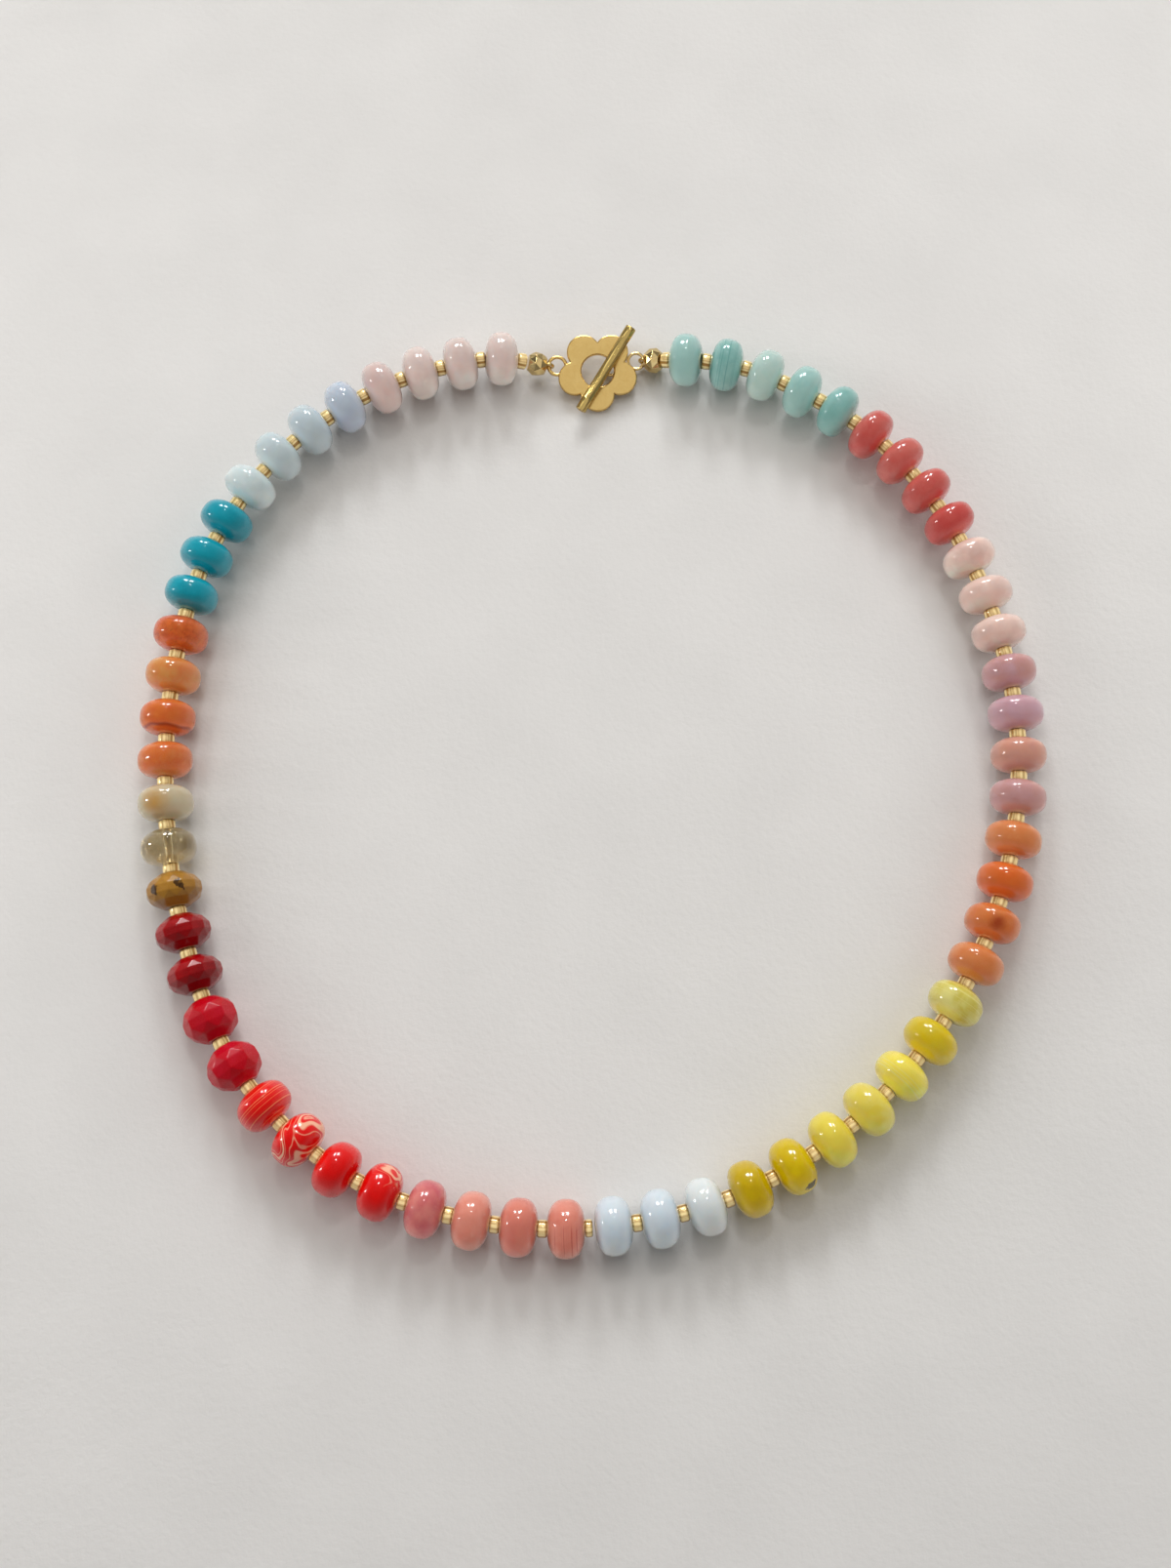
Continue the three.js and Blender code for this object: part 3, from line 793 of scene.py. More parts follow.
# %% [markdown]
# The rows below are in the order of the string. One shared material with random numbers would be
# shorter, but a chosen strand is no accident, so each stone gets its own row. `marks` names what draws
# the marks, `ink` is their colour and `strength` says how much of it shows. `patches` and `only_near`
# are spots in the stone's own frame: X, Y along the string, Z up, and a radius, all in millimetres.

# %% Looks of the stones
def look(ground, cloud, amount=0.6, size=3.0, marks=None, ink=None, strength=0.8, **more):
    """One stone's look. More may hold how clear it is, and what its marks need."""
    return dict(ground=ground, cloud=cloud, amount=amount, size=size, marks=marks, ink=ink,
                strength=strength, **more)


LOOKS = {
    "rose_quartz": [
        look("rose", "rose light", 0.7, 4.0), look("rose", "rose light", 0.8, 4.5),
        look("rose", "rose light", 0.7, 3.5), look("rose", "rose deep", 0.5, 3.0),
    ],
    "pale_blue": [
        look("lavender blue", "milk blue", 0.4, 4.0), look("milk blue", "lavender blue", 0.3, 4.0),
        look("milk blue", "sea milk", 0.6, 3.5), look("sea milk", "blue white", 0.4, 3.5),
    ],
    "turquoise": [
        look("turquoise", "turquoise deep", 0.4, 3.0), look("turquoise", "turquoise deep", 0.15, 3.5),
        look("turquoise", "turquoise deep", 0.35, 2.5),
    ],
    "carnelian": [
        look("carnelian", "carnelian red", 0.8, 2.6, "clouds", "rust", 0.55),
        look("carnelian pale", "ochre", 0.6, 3.2, "clouds", "carnelian", 0.6),
        look("carnelian", "carnelian red", 0.6, 3.0, "line", "rust", 0.8, line_at=1.8),
        look("carnelian", "carnelian pale", 0.7, 2.2, "clouds", "carnelian red", 0.5),
    ],
    "agate": [
        look("fog", "fog light", 0.6, 4.0, clear=0.2, patches=[(0.9, 0.6, 3.9, 3.4)], patch_ink="ochre",
             patch_soft=1.0),
        look("smoke", "smoke pale", 0.7, 1.2, clear=0.85, patch_ink="smoke brown", patch_soft=0.8,
             patches=[(2.8, 0.0, 2.0, 1.7), (-2.8, 0.2, 2.0, 1.7)]),
    ],
    "garnet": [
        look("brown", "brown gold", 0.7, 3.5, patch_ink="umber",
             patches=[(2.3, 0.0, 3.3, 0.8), (-1.4, -0.3, 3.8, 0.6), (-1.9, 0.4, 3.5, 0.5)]),
        look("garnet", "garnet deep", 0.6, 4.0), look("garnet", "garnet deep", 0.8, 4.0),
    ],
    "red_facets": [
        look("scarlet", "scarlet pink", 0.4, 5.0), look("scarlet", "scarlet pink", 0.5, 5.0),
    ],
    "red_jasper": [
        look("jasper", "jasper deep", 0.4, 3.0, "bands", "stripe orange", 0.7, spacing=0.2),
        look("jasper", "jasper deep", 0.4, 3.0, "loops", "vein cream", 0.95),
        look("jasper", "jasper deep", 0.4, 3.0),
        look("jasper", "jasper deep", 0.4, 3.0, "loops", "vein cream", 0.9, only_near=(-3.2, 0.8, 2.2, 2.9)),
    ],
    "salmon": [
        look("salmon rose", "salmon light", 0.55, 4.0), look("salmon", "salmon light", 0.65, 3.0),
        look("salmon", "salmon rose", 0.25, 3.5),
        look("salmon", "salmon light", 0.5, 3.0, "bands", "blood", 0.5, only_near=(2.0, 0.3, 3.4, 3.0)),
    ],
    "ice_blue": [
        look("ice blue", "ice white", 0.4, 4.0), look("ice blue", "ice white", 0.4, 4.5),
        look("ice white", "ice blue", 0.3, 3.0),
    ],
    "mustard": [
        look("mustard", "mustard light", 0.4, 3.0, patches=[(3.5, 1.7, 1.0, 0.45)], patch_ink="ink"),
        look("mustard light", "mustard", 0.4, 3.0, patches=[(3.3, 0.5, 2.0, 0.8), (3.0, 1.5, 2.2, 0.3)],
             patch_ink="ink"),
        look("yellow", "lemon", 0.4, 3.0), look("yellow", "pale lime", 0.4, 3.0),
    ],
    "lemon": [
        look("lemon", "yellow", 0.5, 3.0, "bands", "pale lime", 0.5),
        look("mustard light", "lime", 0.6, 3.5),
        look("lime", "pale lime", 0.8, 3.5, "bands", "pale lime", 0.5),
    ],
    "orange": [
        look("orange pale", "orange", 0.5, 3.0),
        look("orange", "orange pale", 0.5, 2.4, patches=[(0.2, -0.5, 3.9, 1.7)], patch_ink="brick",
             patch_soft=0.9),
        look("fire", "orange", 0.5, 2.6), look("orange pale", "orange", 0.3, 3.0),
    ],
    "mauve": [
        look("mauve", "lilac", 0.4, 3.5), look("mauve rose", "mauve", 0.5, 2.6, "specks", "plum", 0.4),
        look("lilac", "mauve", 0.4, 4.0), look("mauve", "lilac", 0.6, 2.6),
    ],
    "pale_pink": [
        look("blush", "blush light", 0.6, 4.0), look("blush", "blush light", 0.5, 3.5),
        look("blush", "blush light", 0.9, 3.0),
    ],
    "coral": [
        look("coral", "coral light", 0.3, 3.5), look("coral", "coral light", 0.65, 3.0),
        look("coral light", "coral", 0.5, 3.0), look("coral", "coral light", 0.75, 3.0),
    ],
    "amazonite": [
        look("teal", "amazon", 0.45, 3.0), look("amazon", "teal", 0.35, 3.0),
        look("amazon light", "amazon", 0.4, 3.5), look("teal", "amazon", 0.6, 2.6, "bands", "teal deep", 0.6),
        look("amazon", "teal", 0.15, 4.0),
    ],
}
print("looks:", sum(len(rows) for rows in LOOKS.values()), "for", len(stones), "stones")

# %% [markdown]
# ## The stone finish
# Light enters a polished stone, scatters and comes out a little further on, which is what makes it
# look soft and lit from within. A volume inside a glassy shell could do it, but that renders slowly
# and with grain. Subsurface scattering does it in the surface: `depth` is its weight and `reach` how
# far the light comes out again, in millimetres, and opaque stones such as turquoise get little of it.
# The clear coat is the last polish. It carries the sharp window reflections, and `gloss` weakens it
# on the cut stones, whose polish is duller. The lift that each finish names is painted light: the share
# by which the side away from the window is painted brighter. A stone's row may say that it is `clear`,
# which lets light straight through, as in the smoky bead whose bore can be seen.

# %% Finishes by kind of stone
FINISHES = {
    "rose_quartz": {"depth": 0.9, "reach": 2.2, "painted_lift": 0.54},
    "pale_blue": {"depth": 0.8, "reach": 1.8, "painted_lift": 0.36},
    "turquoise": {"depth": 0.15, "reach": 0.5, "painted_lift": 0.1},
    "carnelian": {"depth": 0.7, "reach": 1.5, "painted_lift": 0.45},
    "agate": {"depth": 0.8, "reach": 2.0, "painted_lift": 0.36},
    "garnet": {"depth": 0.3, "reach": 0.6, "painted_lift": 0.1, "gloss": 0.7},
    "red_facets": {"depth": 0.3, "reach": 0.6, "painted_lift": 0.1, "gloss": 0.35},
    "red_jasper": {"depth": 0.15, "reach": 0.4, "painted_lift": 0.1},
    "salmon": {"depth": 0.8, "reach": 1.6, "painted_lift": 0.54},
    "ice_blue": {"depth": 0.8, "reach": 1.8, "painted_lift": 0.36},
    "mustard": {"depth": 0.5, "reach": 1.0, "painted_lift": 0.63},
    "lemon": {"depth": 0.6, "reach": 1.2, "painted_lift": 0.54},
    "orange": {"depth": 0.7, "reach": 1.4, "painted_lift": 0.45},
    "mauve": {"depth": 0.8, "reach": 1.6, "painted_lift": 0.45},
    "pale_pink": {"depth": 0.9, "reach": 2.0, "painted_lift": 0.45},
    "coral": {"depth": 0.5, "reach": 1.0, "painted_lift": 0.45},
    "amazonite": {"depth": 0.7, "reach": 1.5, "painted_lift": 0.45},
}
print("finishes:", len(FINISHES))

# %% [markdown]
# Marks are masks between 0 and 1. Each one is drawn by its group, and may be kept to one spot. The
# line round a carnelian is the exception: it has a chosen place, so a distance along the string draws
# it.

# %% Masks for the marks
LINE_CORE = 0.04
LINE_EDGE = 0.3
NEAR_RAGGED = 1.5
NEAR_SOFT = 0.5


def new_material(name):
    material = bpy.data.materials.new(name)
    material.use_nodes = True
    tree = material.node_tree
    shader = tree.nodes["Principled BSDF"]
    place = add_node(tree, "TexCoord").outputs["Object"]
    return material, tree, shader, place


def near_mask(tree, place, spot, ragged, soft):
    """1 within a spot (x, y, z, radius) of the stone, in millimetres, where Y runs along the string."""
    middle = Vector(spot[:3]) * MM
    values = {"Place": place, "Middle": middle, "Radius mm": spot[3], "Ragged mm": ragged, "Soft": soft}
    return effect(tree, patch, values).outputs[0]


def line_mask(tree, place, line_at):
    """One dark line round the stone, at a place along the string in millimetres."""
    along = add_node(tree, "SeparateXYZ", {0: place}).outputs["Y"]
    off = arithmetic(tree, "SUBTRACT", arithmetic(tree, "DIVIDE", along, MM), line_at)
    moved = arithmetic(tree, "ADD", off, centred(tree, noise(tree, place, SLOW_SCALE, 2.0)[0]))
    return ramp(tree, arithmetic(tree, "ABSOLUTE", moved), LINE_CORE, LINE_EDGE, 1.0, 0.0)


def marks_mask(tree, place, row, seed):
    """The mask of a stone's marks, from the group that draws its kind."""
    kind = row["marks"]
    if kind == "line":
        return line_mask(tree, place, row["line_at"])
    group, values = {
        "loops": (loops, {}),
        "bands": (bands, {"Spacing mm": row.get("spacing", 0.32)}),
        "specks": (specks, {"Spacing mm": 1.1}),
        "clouds": (clouds, {"Size mm": 1.1, "Softness": 0.22, "Level": 0.6}),
    }[kind]
    mask = effect(tree, group, {"Place": place, "Seed": seed, **values}).outputs[0]
    if "only_near" in row:
        near = near_mask(tree, place, row["only_near"], NEAR_RAGGED, NEAR_SOFT)
        mask = arithmetic(tree, "MULTIPLY", mask, near)
    return mask


# %% [markdown]
# The stone's colour is laid on in layers: ground and clouds, then marks, then patches, and last the
# painted light gathered low in it. All that is the same over the whole stone goes straight to the shader.

# %% The stone material
PATCH_STRENGTH = 0.9
PATCH_SOFT = 0.3
PATCH_RAGGED = 1.6
MARKS_SEED_STEP = 7.0
POLISH_BUMP = 0.03 * MM


def stone_material(name, row, finish, seed):
    material, tree, shader, place = new_material(name)
    mask = effect(tree, clouds, {"Place": place, "Size mm": row["size"], "Seed": seed}).outputs[0]
    weighed = arithmetic(tree, "MULTIPLY", mask, row["amount"])
    colour = blend_colours(tree, weighed, linear(PALETTE[row["ground"]]), linear(PALETTE[row["cloud"]]))
    if row["marks"]:
        marks = marks_mask(tree, place, row, seed + MARKS_SEED_STEP)
        drawn = arithmetic(tree, "MULTIPLY", marks, row["strength"])
        colour = blend_colours(tree, drawn, colour, linear(PALETTE[row["ink"]]))
    for spot in row.get("patches", []):
        soft = row.get("patch_soft", PATCH_SOFT)
        near = near_mask(tree, place, spot, PATCH_RAGGED - soft, soft)
        drawn = arithmetic(tree, "MULTIPLY", near, PATCH_STRENGTH)
        colour = blend_colours(tree, drawn, colour, linear(PALETTE[row["patch_ink"]]))
    # Painted light: the stone's colour is painted lighter on the side away from the window.
    painted_lift = effect(tree, gathered, {"Lift": finish["painted_lift"]}).outputs[0]
    colour = add_node(tree, "HueSaturation", {"Value": painted_lift, "Color": colour}).outputs[0]
    clear = row.get("clear", 0.0)
    values = {"Place": place, "Roughness": 0.28 * (1 - clear), "Spread": 0.12 * (1 - clear)}
    polished = effect(tree, polish, values).outputs
    bump = add_node(tree, "Bump", {"Height": polished["Height"], "Strength": 0.35, "Distance": POLISH_BUMP})
    feed(tree, shader, {
        "Base Color": colour,
        "Roughness": polished["Roughness"],
        "Normal": bump.outputs[0],
        "Subsurface Weight": finish["depth"] * (1 - clear),
        "Subsurface Radius": (1.0, 0.75, 0.65),
        "Subsurface Scale": finish["reach"] * MM,
        "IOR": 1.5,
        "Specular IOR Level": 0.15,
        "Coat Weight": finish.get("gloss", 1.0),
        "Coat Roughness": 0.015,
        "Coat IOR": 1.55,
        "Transmission Weight": clear,
    })
    return material


# %% [markdown]
# ## The stones
# A rondelle is ground from a drilled cube and tumbled smooth, so its outline lies between an ellipse
# and a box: a superellipse of power 2.5, flat where its neighbours press on it. A squashed sphere
# would be too round there and has no bore. Small slow waves in the radius keep two stones from being
# alike, as tumbling leaves them. The cut ones have flat facets in slanting rows on either side of a
# narrow upright band. Rings of points that are turned by half a facet against each other make the
# rows, and two rings in line make the band.

# %% Profile of a tumbled stone
STONE_SIDES = 56
STONE_STEPS = 26
SUPERELLIPSE = 2.5
BORE_RADIUS = 0.45
BORE_CHAMFER = 0.12
FLAT_SHARE = 0.36


def round_profile(length, width):
    """(radius, along) from one end's flat, over the stone's back, to the other, and the bore."""
    radius, half = width / 2, length / 2
    start = math.acos(FLAT_SHARE ** (SUPERELLIPSE / 2))
    profile = [(BORE_RADIUS + BORE_CHAMFER, -half)]
    for step in range(STONE_STEPS + 1):
        angle = -start + 2 * start * step / STONE_STEPS
        across = radius * math.cos(angle) ** (2 / SUPERELLIPSE)
        reach = abs(math.sin(angle)) ** (2 / SUPERELLIPSE) / math.sin(start) ** (2 / SUPERELLIPSE)
        profile.append((across, math.copysign(half * reach, angle)))
    profile.append((BORE_RADIUS + BORE_CHAMFER, half))
    profile.append((BORE_RADIUS, half - BORE_CHAMFER))
    profile.append((BORE_RADIUS, BORE_CHAMFER - half))
    return profile


# %% A tumbled stone
LOBES = (2, 3, 5)
LOBE_SIZES = (0.002, 0.007)
LOPSIDED = 0.03


def round_stone(name, stone, chance):
    """A tumbled stone. Its bore stays round, and its back waves and leans a little."""
    profile = round_profile(stone["length"], stone["width"])
    lobes = [(count, chance.uniform(*LOBE_SIZES), chance.uniform(0, 2 * math.pi)) for count in LOBES]
    lopsided = chance.uniform(-LOPSIDED, LOPSIDED)
    rings = []
    for radius, along in profile:
        ring = []
        for side in range(STONE_SIDES):
            angle = 2 * math.pi * side / STONE_SIDES
            grown, shift = 1.0, 0.0
            if radius > BORE_RADIUS + BORE_CHAMFER:
                grown += sum(size * (math.cos(count * angle + turn) - 1) for count, size, turn in lobes)
                bulge = 1 - (2 * along / stone["length"]) ** 2
                shift = lopsided * stone["length"] * math.sin(angle) * bulge
            ring.append((grown * radius * math.sin(angle), along + shift, grown * radius * math.cos(angle)))
        rings.append(ring)
    piece = mesh_object(name, *bridged(rings, True))
    outward(piece.data)
    smooth_to(piece, 50)
    return piece


# %% [markdown]
# Each ring of a cut stone is written as its place along the stone and its reach across it, as shares
# of the stone's own sizes, and how many facets it is turned.

# %% A cut stone
FACET_RINGS = [
    (-0.5, 0.48, 0.0), (-0.31, 0.86, 0.5), (-0.11, 0.995, 1.0),
    (0.11, 0.995, 1.0), (0.31, 0.86, 1.5), (0.5, 0.48, 2.0),
]


def cut_stone(name, stone):
    """A faceted stone. A step between two rings is slanted where the turn grows."""
    outline = [(across * stone["width"] / 2, along * stone["length"]) for along, across, _ in FACET_RINGS]
    turns = [turn for _, _, turn in FACET_RINGS]
    half = stone["length"] / 2
    bore = [(BORE_RADIUS, half), (BORE_RADIUS, -half)]
    rings = turned_rings(outline + bore, stone["facets"], turns + [turns[-1]] * len(bore))
    slanted = [step for step in range(len(turns) - 1) if turns[step + 1] > turns[step]]
    piece = mesh_object(name, *bridged(rings, True, int(turns[-1]), slanted))
    outward(piece.data)
    rounded_edges(piece, stone["rounding"], 3, 8)
    return piece


# %% Sixty stones on the string
NOISE_STEP = 3.7
garnets = []
for number, stone in enumerate(stones, start=1):
    name = f"stone_{number:02d}_{stone['stone']}"
    chance = random.Random(number)
    piece = cut_stone(name, stone) if "facets" in stone else round_stone(name, stone, chance)
    row = LOOKS[stone["stone"]][stone["order"] - 1]
    piece.data.materials.append(stone_material(name, row, FINISHES[stone["stone"]], number * NOISE_STEP))
    piece.matrix_world = string_pose(stone["place"]) @ Matrix.Scale(1 / MM, 4)
    belongs(piece, "bead_string_" + stone["string"])
    if stone["stone"] == "garnet":
        garnets.append(piece)
print("stones made:", len(stones), "garnets:", len(garnets))

# %% [markdown]
# ## Seed beads
# Between two stones sits one small glass bead, lined with gold inside, so it glints along its
# length. Real glass over a gold tube would cost many light paths for a bead 2.4 mm across, so one
# surface stands for both: half metal under a clear coat. All the seeds of one string are joined into
# one mesh. Its UV map runs once round each bead and along it, which lets the lining's bright and dark
# streaks follow the bead. Their bump gives the lining real ridges, and their bright and dark colours
# are painted glints and painted shade of the lining seen through the glass.

# %% Seed beads, one mesh for each string
SEED_SIDES = 24
SEED_ROUNDING = 0.32
SEED_ROUNDING_STEPS = 4
SEED_CHAMFER = 0.1


def seed_profile(length):
    radius, half = SEED_WIDTH / 2, length / 2
    profile = [(BORE_RADIUS, -half + SEED_CHAMFER), (BORE_RADIUS + SEED_CHAMFER, -half)]
    for step in range(SEED_ROUNDING_STEPS + 1):
        angle = math.pi / 2 * step / SEED_ROUNDING_STEPS
        away = SEED_ROUNDING * (1 - math.sin(angle))
        profile.append((radius - away, -half + SEED_ROUNDING * (1 - math.cos(angle))))
    profile += [(across, -along) for across, along in reversed(profile)]
    return profile


def seed_string(string):
    """All seeds of one string in one mesh, with their UV map."""
    points, faces = [], []
    for seed in (seed for seed in seeds if seed["string"] == string):
        rings = turned_rings(seed_profile(seed["length"]), SEED_SIDES)
        ring_points, ring_faces = bridged(rings, True)
        pose = string_pose(seed["start"] + seed["length"] / 2)
        first = len(points)
        points += [tuple(pose @ Vector(point)) for point in ring_points]
        faces += [tuple(first + corner for corner in face) for face in ring_faces]
    piece = mesh_object(f"seed_beads_{string}", points, faces, scale=1.0)
    ring_count = len(seed_profile(SEED_LENGTH))
    layer = piece.data.uv_layers.new(name="round and along")
    for face in piece.data.polygons:
        corners = [piece.data.loops[i].vertex_index for i in face.loop_indices]
        sides = [corner % SEED_SIDES for corner in corners]
        wraps = max(sides) - min(sides) > SEED_SIDES / 2
        for loop, corner, side in zip(face.loop_indices, corners, sides):
            turn = side + SEED_SIDES if wraps and side < SEED_SIDES / 2 else side
            layer.data[loop].uv = (turn / SEED_SIDES, corner // SEED_SIDES / ring_count)
    outward(piece.data)
    smooth_to(piece, 60)
    return piece


# %% Gold lined glass
STREAKS_ROUND = 9.0
STREAKS_WOBBLE = 260.0
STREAK_DARK, STREAK_BRIGHT = 0.43, 0.57
STREAK_BUMP = 0.06 * MM
# The two lining colours are its gold with painted shade and with painted glints.
LINING_GOLD_IN_SHADE = "AE8038"
LINING_GOLD_IN_GLINT = "FBE29E"


def seed_material():
    material, tree, shader, place = new_material("gold lined glass")
    around = add_node(tree, "SeparateXYZ", {0: add_node(tree, "UVMap").outputs[0]}).outputs["X"]
    turned = arithmetic(tree, "MULTIPLY", around, STREAKS_ROUND)
    wobble = noise(tree, place, STREAKS_WOBBLE, 1.0)[0]
    ridges_and_glints = add_node(tree, "TexNoise", {"W": arithmetic(tree, "ADD", turned, wobble), "Scale": 1.0,
                       "Detail": 2.0}, noise_dimensions="1D").outputs[0]
    # The streak mask paints glints and shade into the lining's colour.
    mask = ramp(tree, ridges_and_glints, STREAK_DARK, STREAK_BRIGHT)
    colour = blend_colours(tree, mask, linear(LINING_GOLD_IN_SHADE), linear(LINING_GOLD_IN_GLINT))
    values = {"Place": place, "Roughness": 0.3, "Spread": 0.15, "Wave mm": 0.6}
    polished = effect(tree, polish, values).outputs
    # The same streaks in the bump give the lining real ridges.
    height = arithmetic(tree, "ADD", polished["Height"], ridges_and_glints)
    bump = add_node(tree, "Bump", {"Height": height, "Strength": 0.6, "Distance": STREAK_BUMP})
    feed(tree, shader, {
        "Base Color": colour, "Roughness": polished["Roughness"], "Normal": bump.outputs[0],
        "Metallic": 0.4, "Coat Weight": 1.0, "Coat Roughness": 0.04,
    })
    return material


# %% Two strings of seeds
gold_glass = seed_material()
for string in ("left", "right"):
    piece = seed_string(string)
    piece.data.materials.append(gold_glass)
    belongs(piece, "bead_string_" + string)
    print(piece.name, len(piece.data.polygons), "faces")

# %% [markdown]
# ## Gold
# The clasp is gold plated brass. The stamped plate has a satin face that scatters light, while wire
# and bar are polished. Fine handling marks vary the roughness, and the tone is a little deeper in
# patches. Metal shows only what it reflects, so its colour hardly varies and the roughness does the
# rest. The bar is brushed lengthwise. Anisotropic shading would need a tangent map, so its marks are
# drawn out along its axis instead, and a low bump keeps them from glittering.

# %% Gold finishes
bar_turned = to_frame @ clasp_frame @ Matrix.Rotation(math.radians(BAR_TURN), 4, "Z")
BAR_AXIS = bar_turned.to_3x3() @ Vector((1, 0, 0))
DRAWN_OUT = 0.98
# The size of the deeper patches, in millimetres, and the strength of the bump.
PLAIN_GOLD = (1.2, 0.4)
BRUSHED_GOLD = (0.35, 0.15)


def drawn_along(tree, place, axis):
    """The place with nearly all of its way along an axis taken out, so that marks become lines."""
    along = add_node(tree, "VectorMath", {0: place, 1: axis}, operation="PROJECT").outputs[0]
    removed = add_node(tree, "VectorMath", {0: along, "Scale": DRAWN_OUT}, operation="SCALE").outputs[0]
    return add_node(tree, "VectorMath", {0: place, 1: removed}, operation="SUBTRACT").outputs[0]


def gold_material(name, bright, deep, roughness, grain_mm, brushed_along=None):
    material, tree, shader, place = new_material(name)
    size, strength = PLAIN_GOLD
    if brushed_along:
        place = drawn_along(tree, place, brushed_along)
        size, strength = BRUSHED_GOLD
    mask = effect(tree, clouds, {"Place": place, "Size mm": size, "Softness": 0.3}).outputs[0]
    values = {"Place": place, "Roughness": roughness, "Spread": 0.06, "Wave mm": 2.0,
              "Grain mm": grain_mm, "Grain share": 0.05}
    polished = effect(tree, polish, values).outputs
    values = {"Height": polished["Height"], "Strength": strength, "Distance": POLISH_BUMP}
    feed(tree, shader, {
        "Base Color": blend_colours(tree, mask, linear(bright), linear(deep)),
        "Roughness": polished["Roughness"],
        "Normal": add_node(tree, "Bump", values).outputs[0],
        "Metallic": 1.0,
    })
    print("gold:", name)
    return material


gold_satin = gold_material("satin gold", "DFBE78", "D8B46C", 0.26, 0.08)
gold_bright = gold_material("polished gold", "E0CA92", "D2B478", 0.15, 0.15)
gold_brushed = gold_material("brushed gold", "CEB472", "B09452", 0.24, 0.15, BAR_AXIS)


def set_in_gold(piece, pose, degrees, gold, node):
    """Puts a clasp piece in its place, smooths it, gilds it and says what it stands for."""
    piece.data.transform(pose)
    smooth_to(piece, degrees)
    piece.data.materials.append(gold)
    belongs(piece, node)
    print(piece.name, len(piece.data.polygons), "faces")


# %% [markdown]
# ## The flower plate
# Five round petals, a round window and softly rounded edges. A union of discs with a bevel would
# tangle in the notches. Seen from its middle the outline never folds back, so one ring of points for
# each level follows it: every ring asks how far the edge lies in each direction once the rounding has
# drawn it in. In a notch the drawn-in edge is an arc round the notch's point. The photograph shows
# the petals a little fuller than the solid's, and `PLATE_GROWN` adds that all round. The wire ring at
# the plate's side is soldered on, so it is one body with the plate.

# %% The plate's outline
PLATE_STEPS = 240
PLATE_ROUNDING = 0.26
PLATE_GROWN = 0.12
ROUNDING_STEPS = 5


def petal_reach(direction, drawn_in):
    """How far the flower's edge lies from the middle in a direction, drawn in by an amount."""
    reach = 0.0
    drawn_in -= PLATE_GROWN
    radius = PETAL_RADIUS - drawn_in
    for petal in range(PETALS):
        off = direction - math.radians(-90 + 360 / PETALS * petal)
        across = PETAL_OFFSET * math.sin(off)
        if abs(across) < radius and math.cos(off) > 0:
            reach = max(reach, PETAL_OFFSET * math.cos(off) + math.sqrt(radius**2 - across**2))
        off += HALF_PETAL
        across = NOTCH_RADIUS * math.sin(off)
        if abs(across) < drawn_in and math.cos(off) > 0:
            reach = max(reach, NOTCH_RADIUS * math.cos(off) - math.sqrt(drawn_in**2 - across**2))
    return reach


def plate_levels():
    """(drawn in, height) from the upper face over the rounded edge to the lower face."""
    upper = []
    for step in range(ROUNDING_STEPS + 1):
        angle = math.pi / 2 * step / ROUNDING_STEPS
        drawn_in = PLATE_ROUNDING * (1 - math.sin(angle))
        upper.append((drawn_in, PLATE_THICKNESS / 2 - PLATE_ROUNDING * (1 - math.cos(angle))))
    return upper + [(drawn_in, -height) for drawn_in, height in reversed(upper)]


# %% Plate with its side ring
directions = [math.radians(-90 + 360 * step / PLATE_STEPS) for step in range(PLATE_STEPS)]
levels = plate_levels()
rings = []
for drawn_in, height in levels:
    reaches = [petal_reach(direction, drawn_in) for direction in directions]
    rings.append([(r * math.cos(a), r * math.sin(a), height) for a, r in zip(directions, reaches)])
for drawn_in, height in reversed(levels):
    edge = WINDOW_RADIUS + drawn_in
    rings.append([(edge * math.cos(a), edge * math.sin(a), height) for a in directions])
plate = mesh_object("plate", *bridged(rings, True), scale=1.0)
side_ring = wire_ring("side_ring", RING_WIDTH, RING_WIRE)
side_ring.data.transform(Matrix.Translation((ring_middle.x, ring_middle.y, 0)))
flower = union("flower_plate_with_ring", [plate, side_ring])
set_in_gold(flower, to_frame @ clasp_frame, 40, gold_satin, "flower_ring")

# %% [markdown]
# ## The toggle bar
# A plain round bar with a slightly thicker collar at each end, and a shallow dimple in each end face.
# A cylinder with bevels would lose both steps, so the whole profile is turned. The photograph shows
# the bar a little thicker than the solid and the collars nearly level with it, and `BAR_PLATING` and
# `WORN_COLLAR` say how far. A short shank under its middle ends in an eye, which hangs through the
# window and holds the link. The bar is longer than the window is across, so it can't slip back
# through while the necklace is worn.

# %% Bar, shank and eye
BAR_PLATING = 0.05
WORN_COLLAR = 0.03
COLLAR_SLOPE = 0.03
COLLAR_EASE = 0.01
CORNER_IN = 0.04
CORNER_BACK = 0.05
DIMPLE_EDGE = 0.3
DIMPLE_SLOPE = 0.06
DIMPLE_DEPTH = 0.08
BAR_SIDES = 48
half, radius = BAR_LENGTH / 2, BAR_WIDTH / 2 + BAR_PLATING
collar = radius + WORN_COLLAR
step = half - COLLAR_LENGTH
bar_half = [
    (radius, step - COLLAR_SLOPE), (collar - COLLAR_EASE, step), (collar, step + COLLAR_SLOPE),
    (collar, half - BAR_CHAMFER), (collar - CORNER_IN, half - CORNER_BACK), (collar - BAR_CHAMFER, half),
    (collar - DIMPLE_EDGE, half), (collar - DIMPLE_EDGE - DIMPLE_SLOPE, half - DIMPLE_DEPTH),
]
bar_profile = [(across, -along) for across, along in reversed(bar_half)] + bar_half
bar = mesh_object("bar", *bridged(turned_rings(bar_profile, BAR_SIDES), False), scale=1.0)
eye_depth = LINK_DEPTH + EYE_WIRE / 2 - BAR_HEIGHT
eye = wire_ring("eye", EYE_WIDTH, EYE_WIRE)
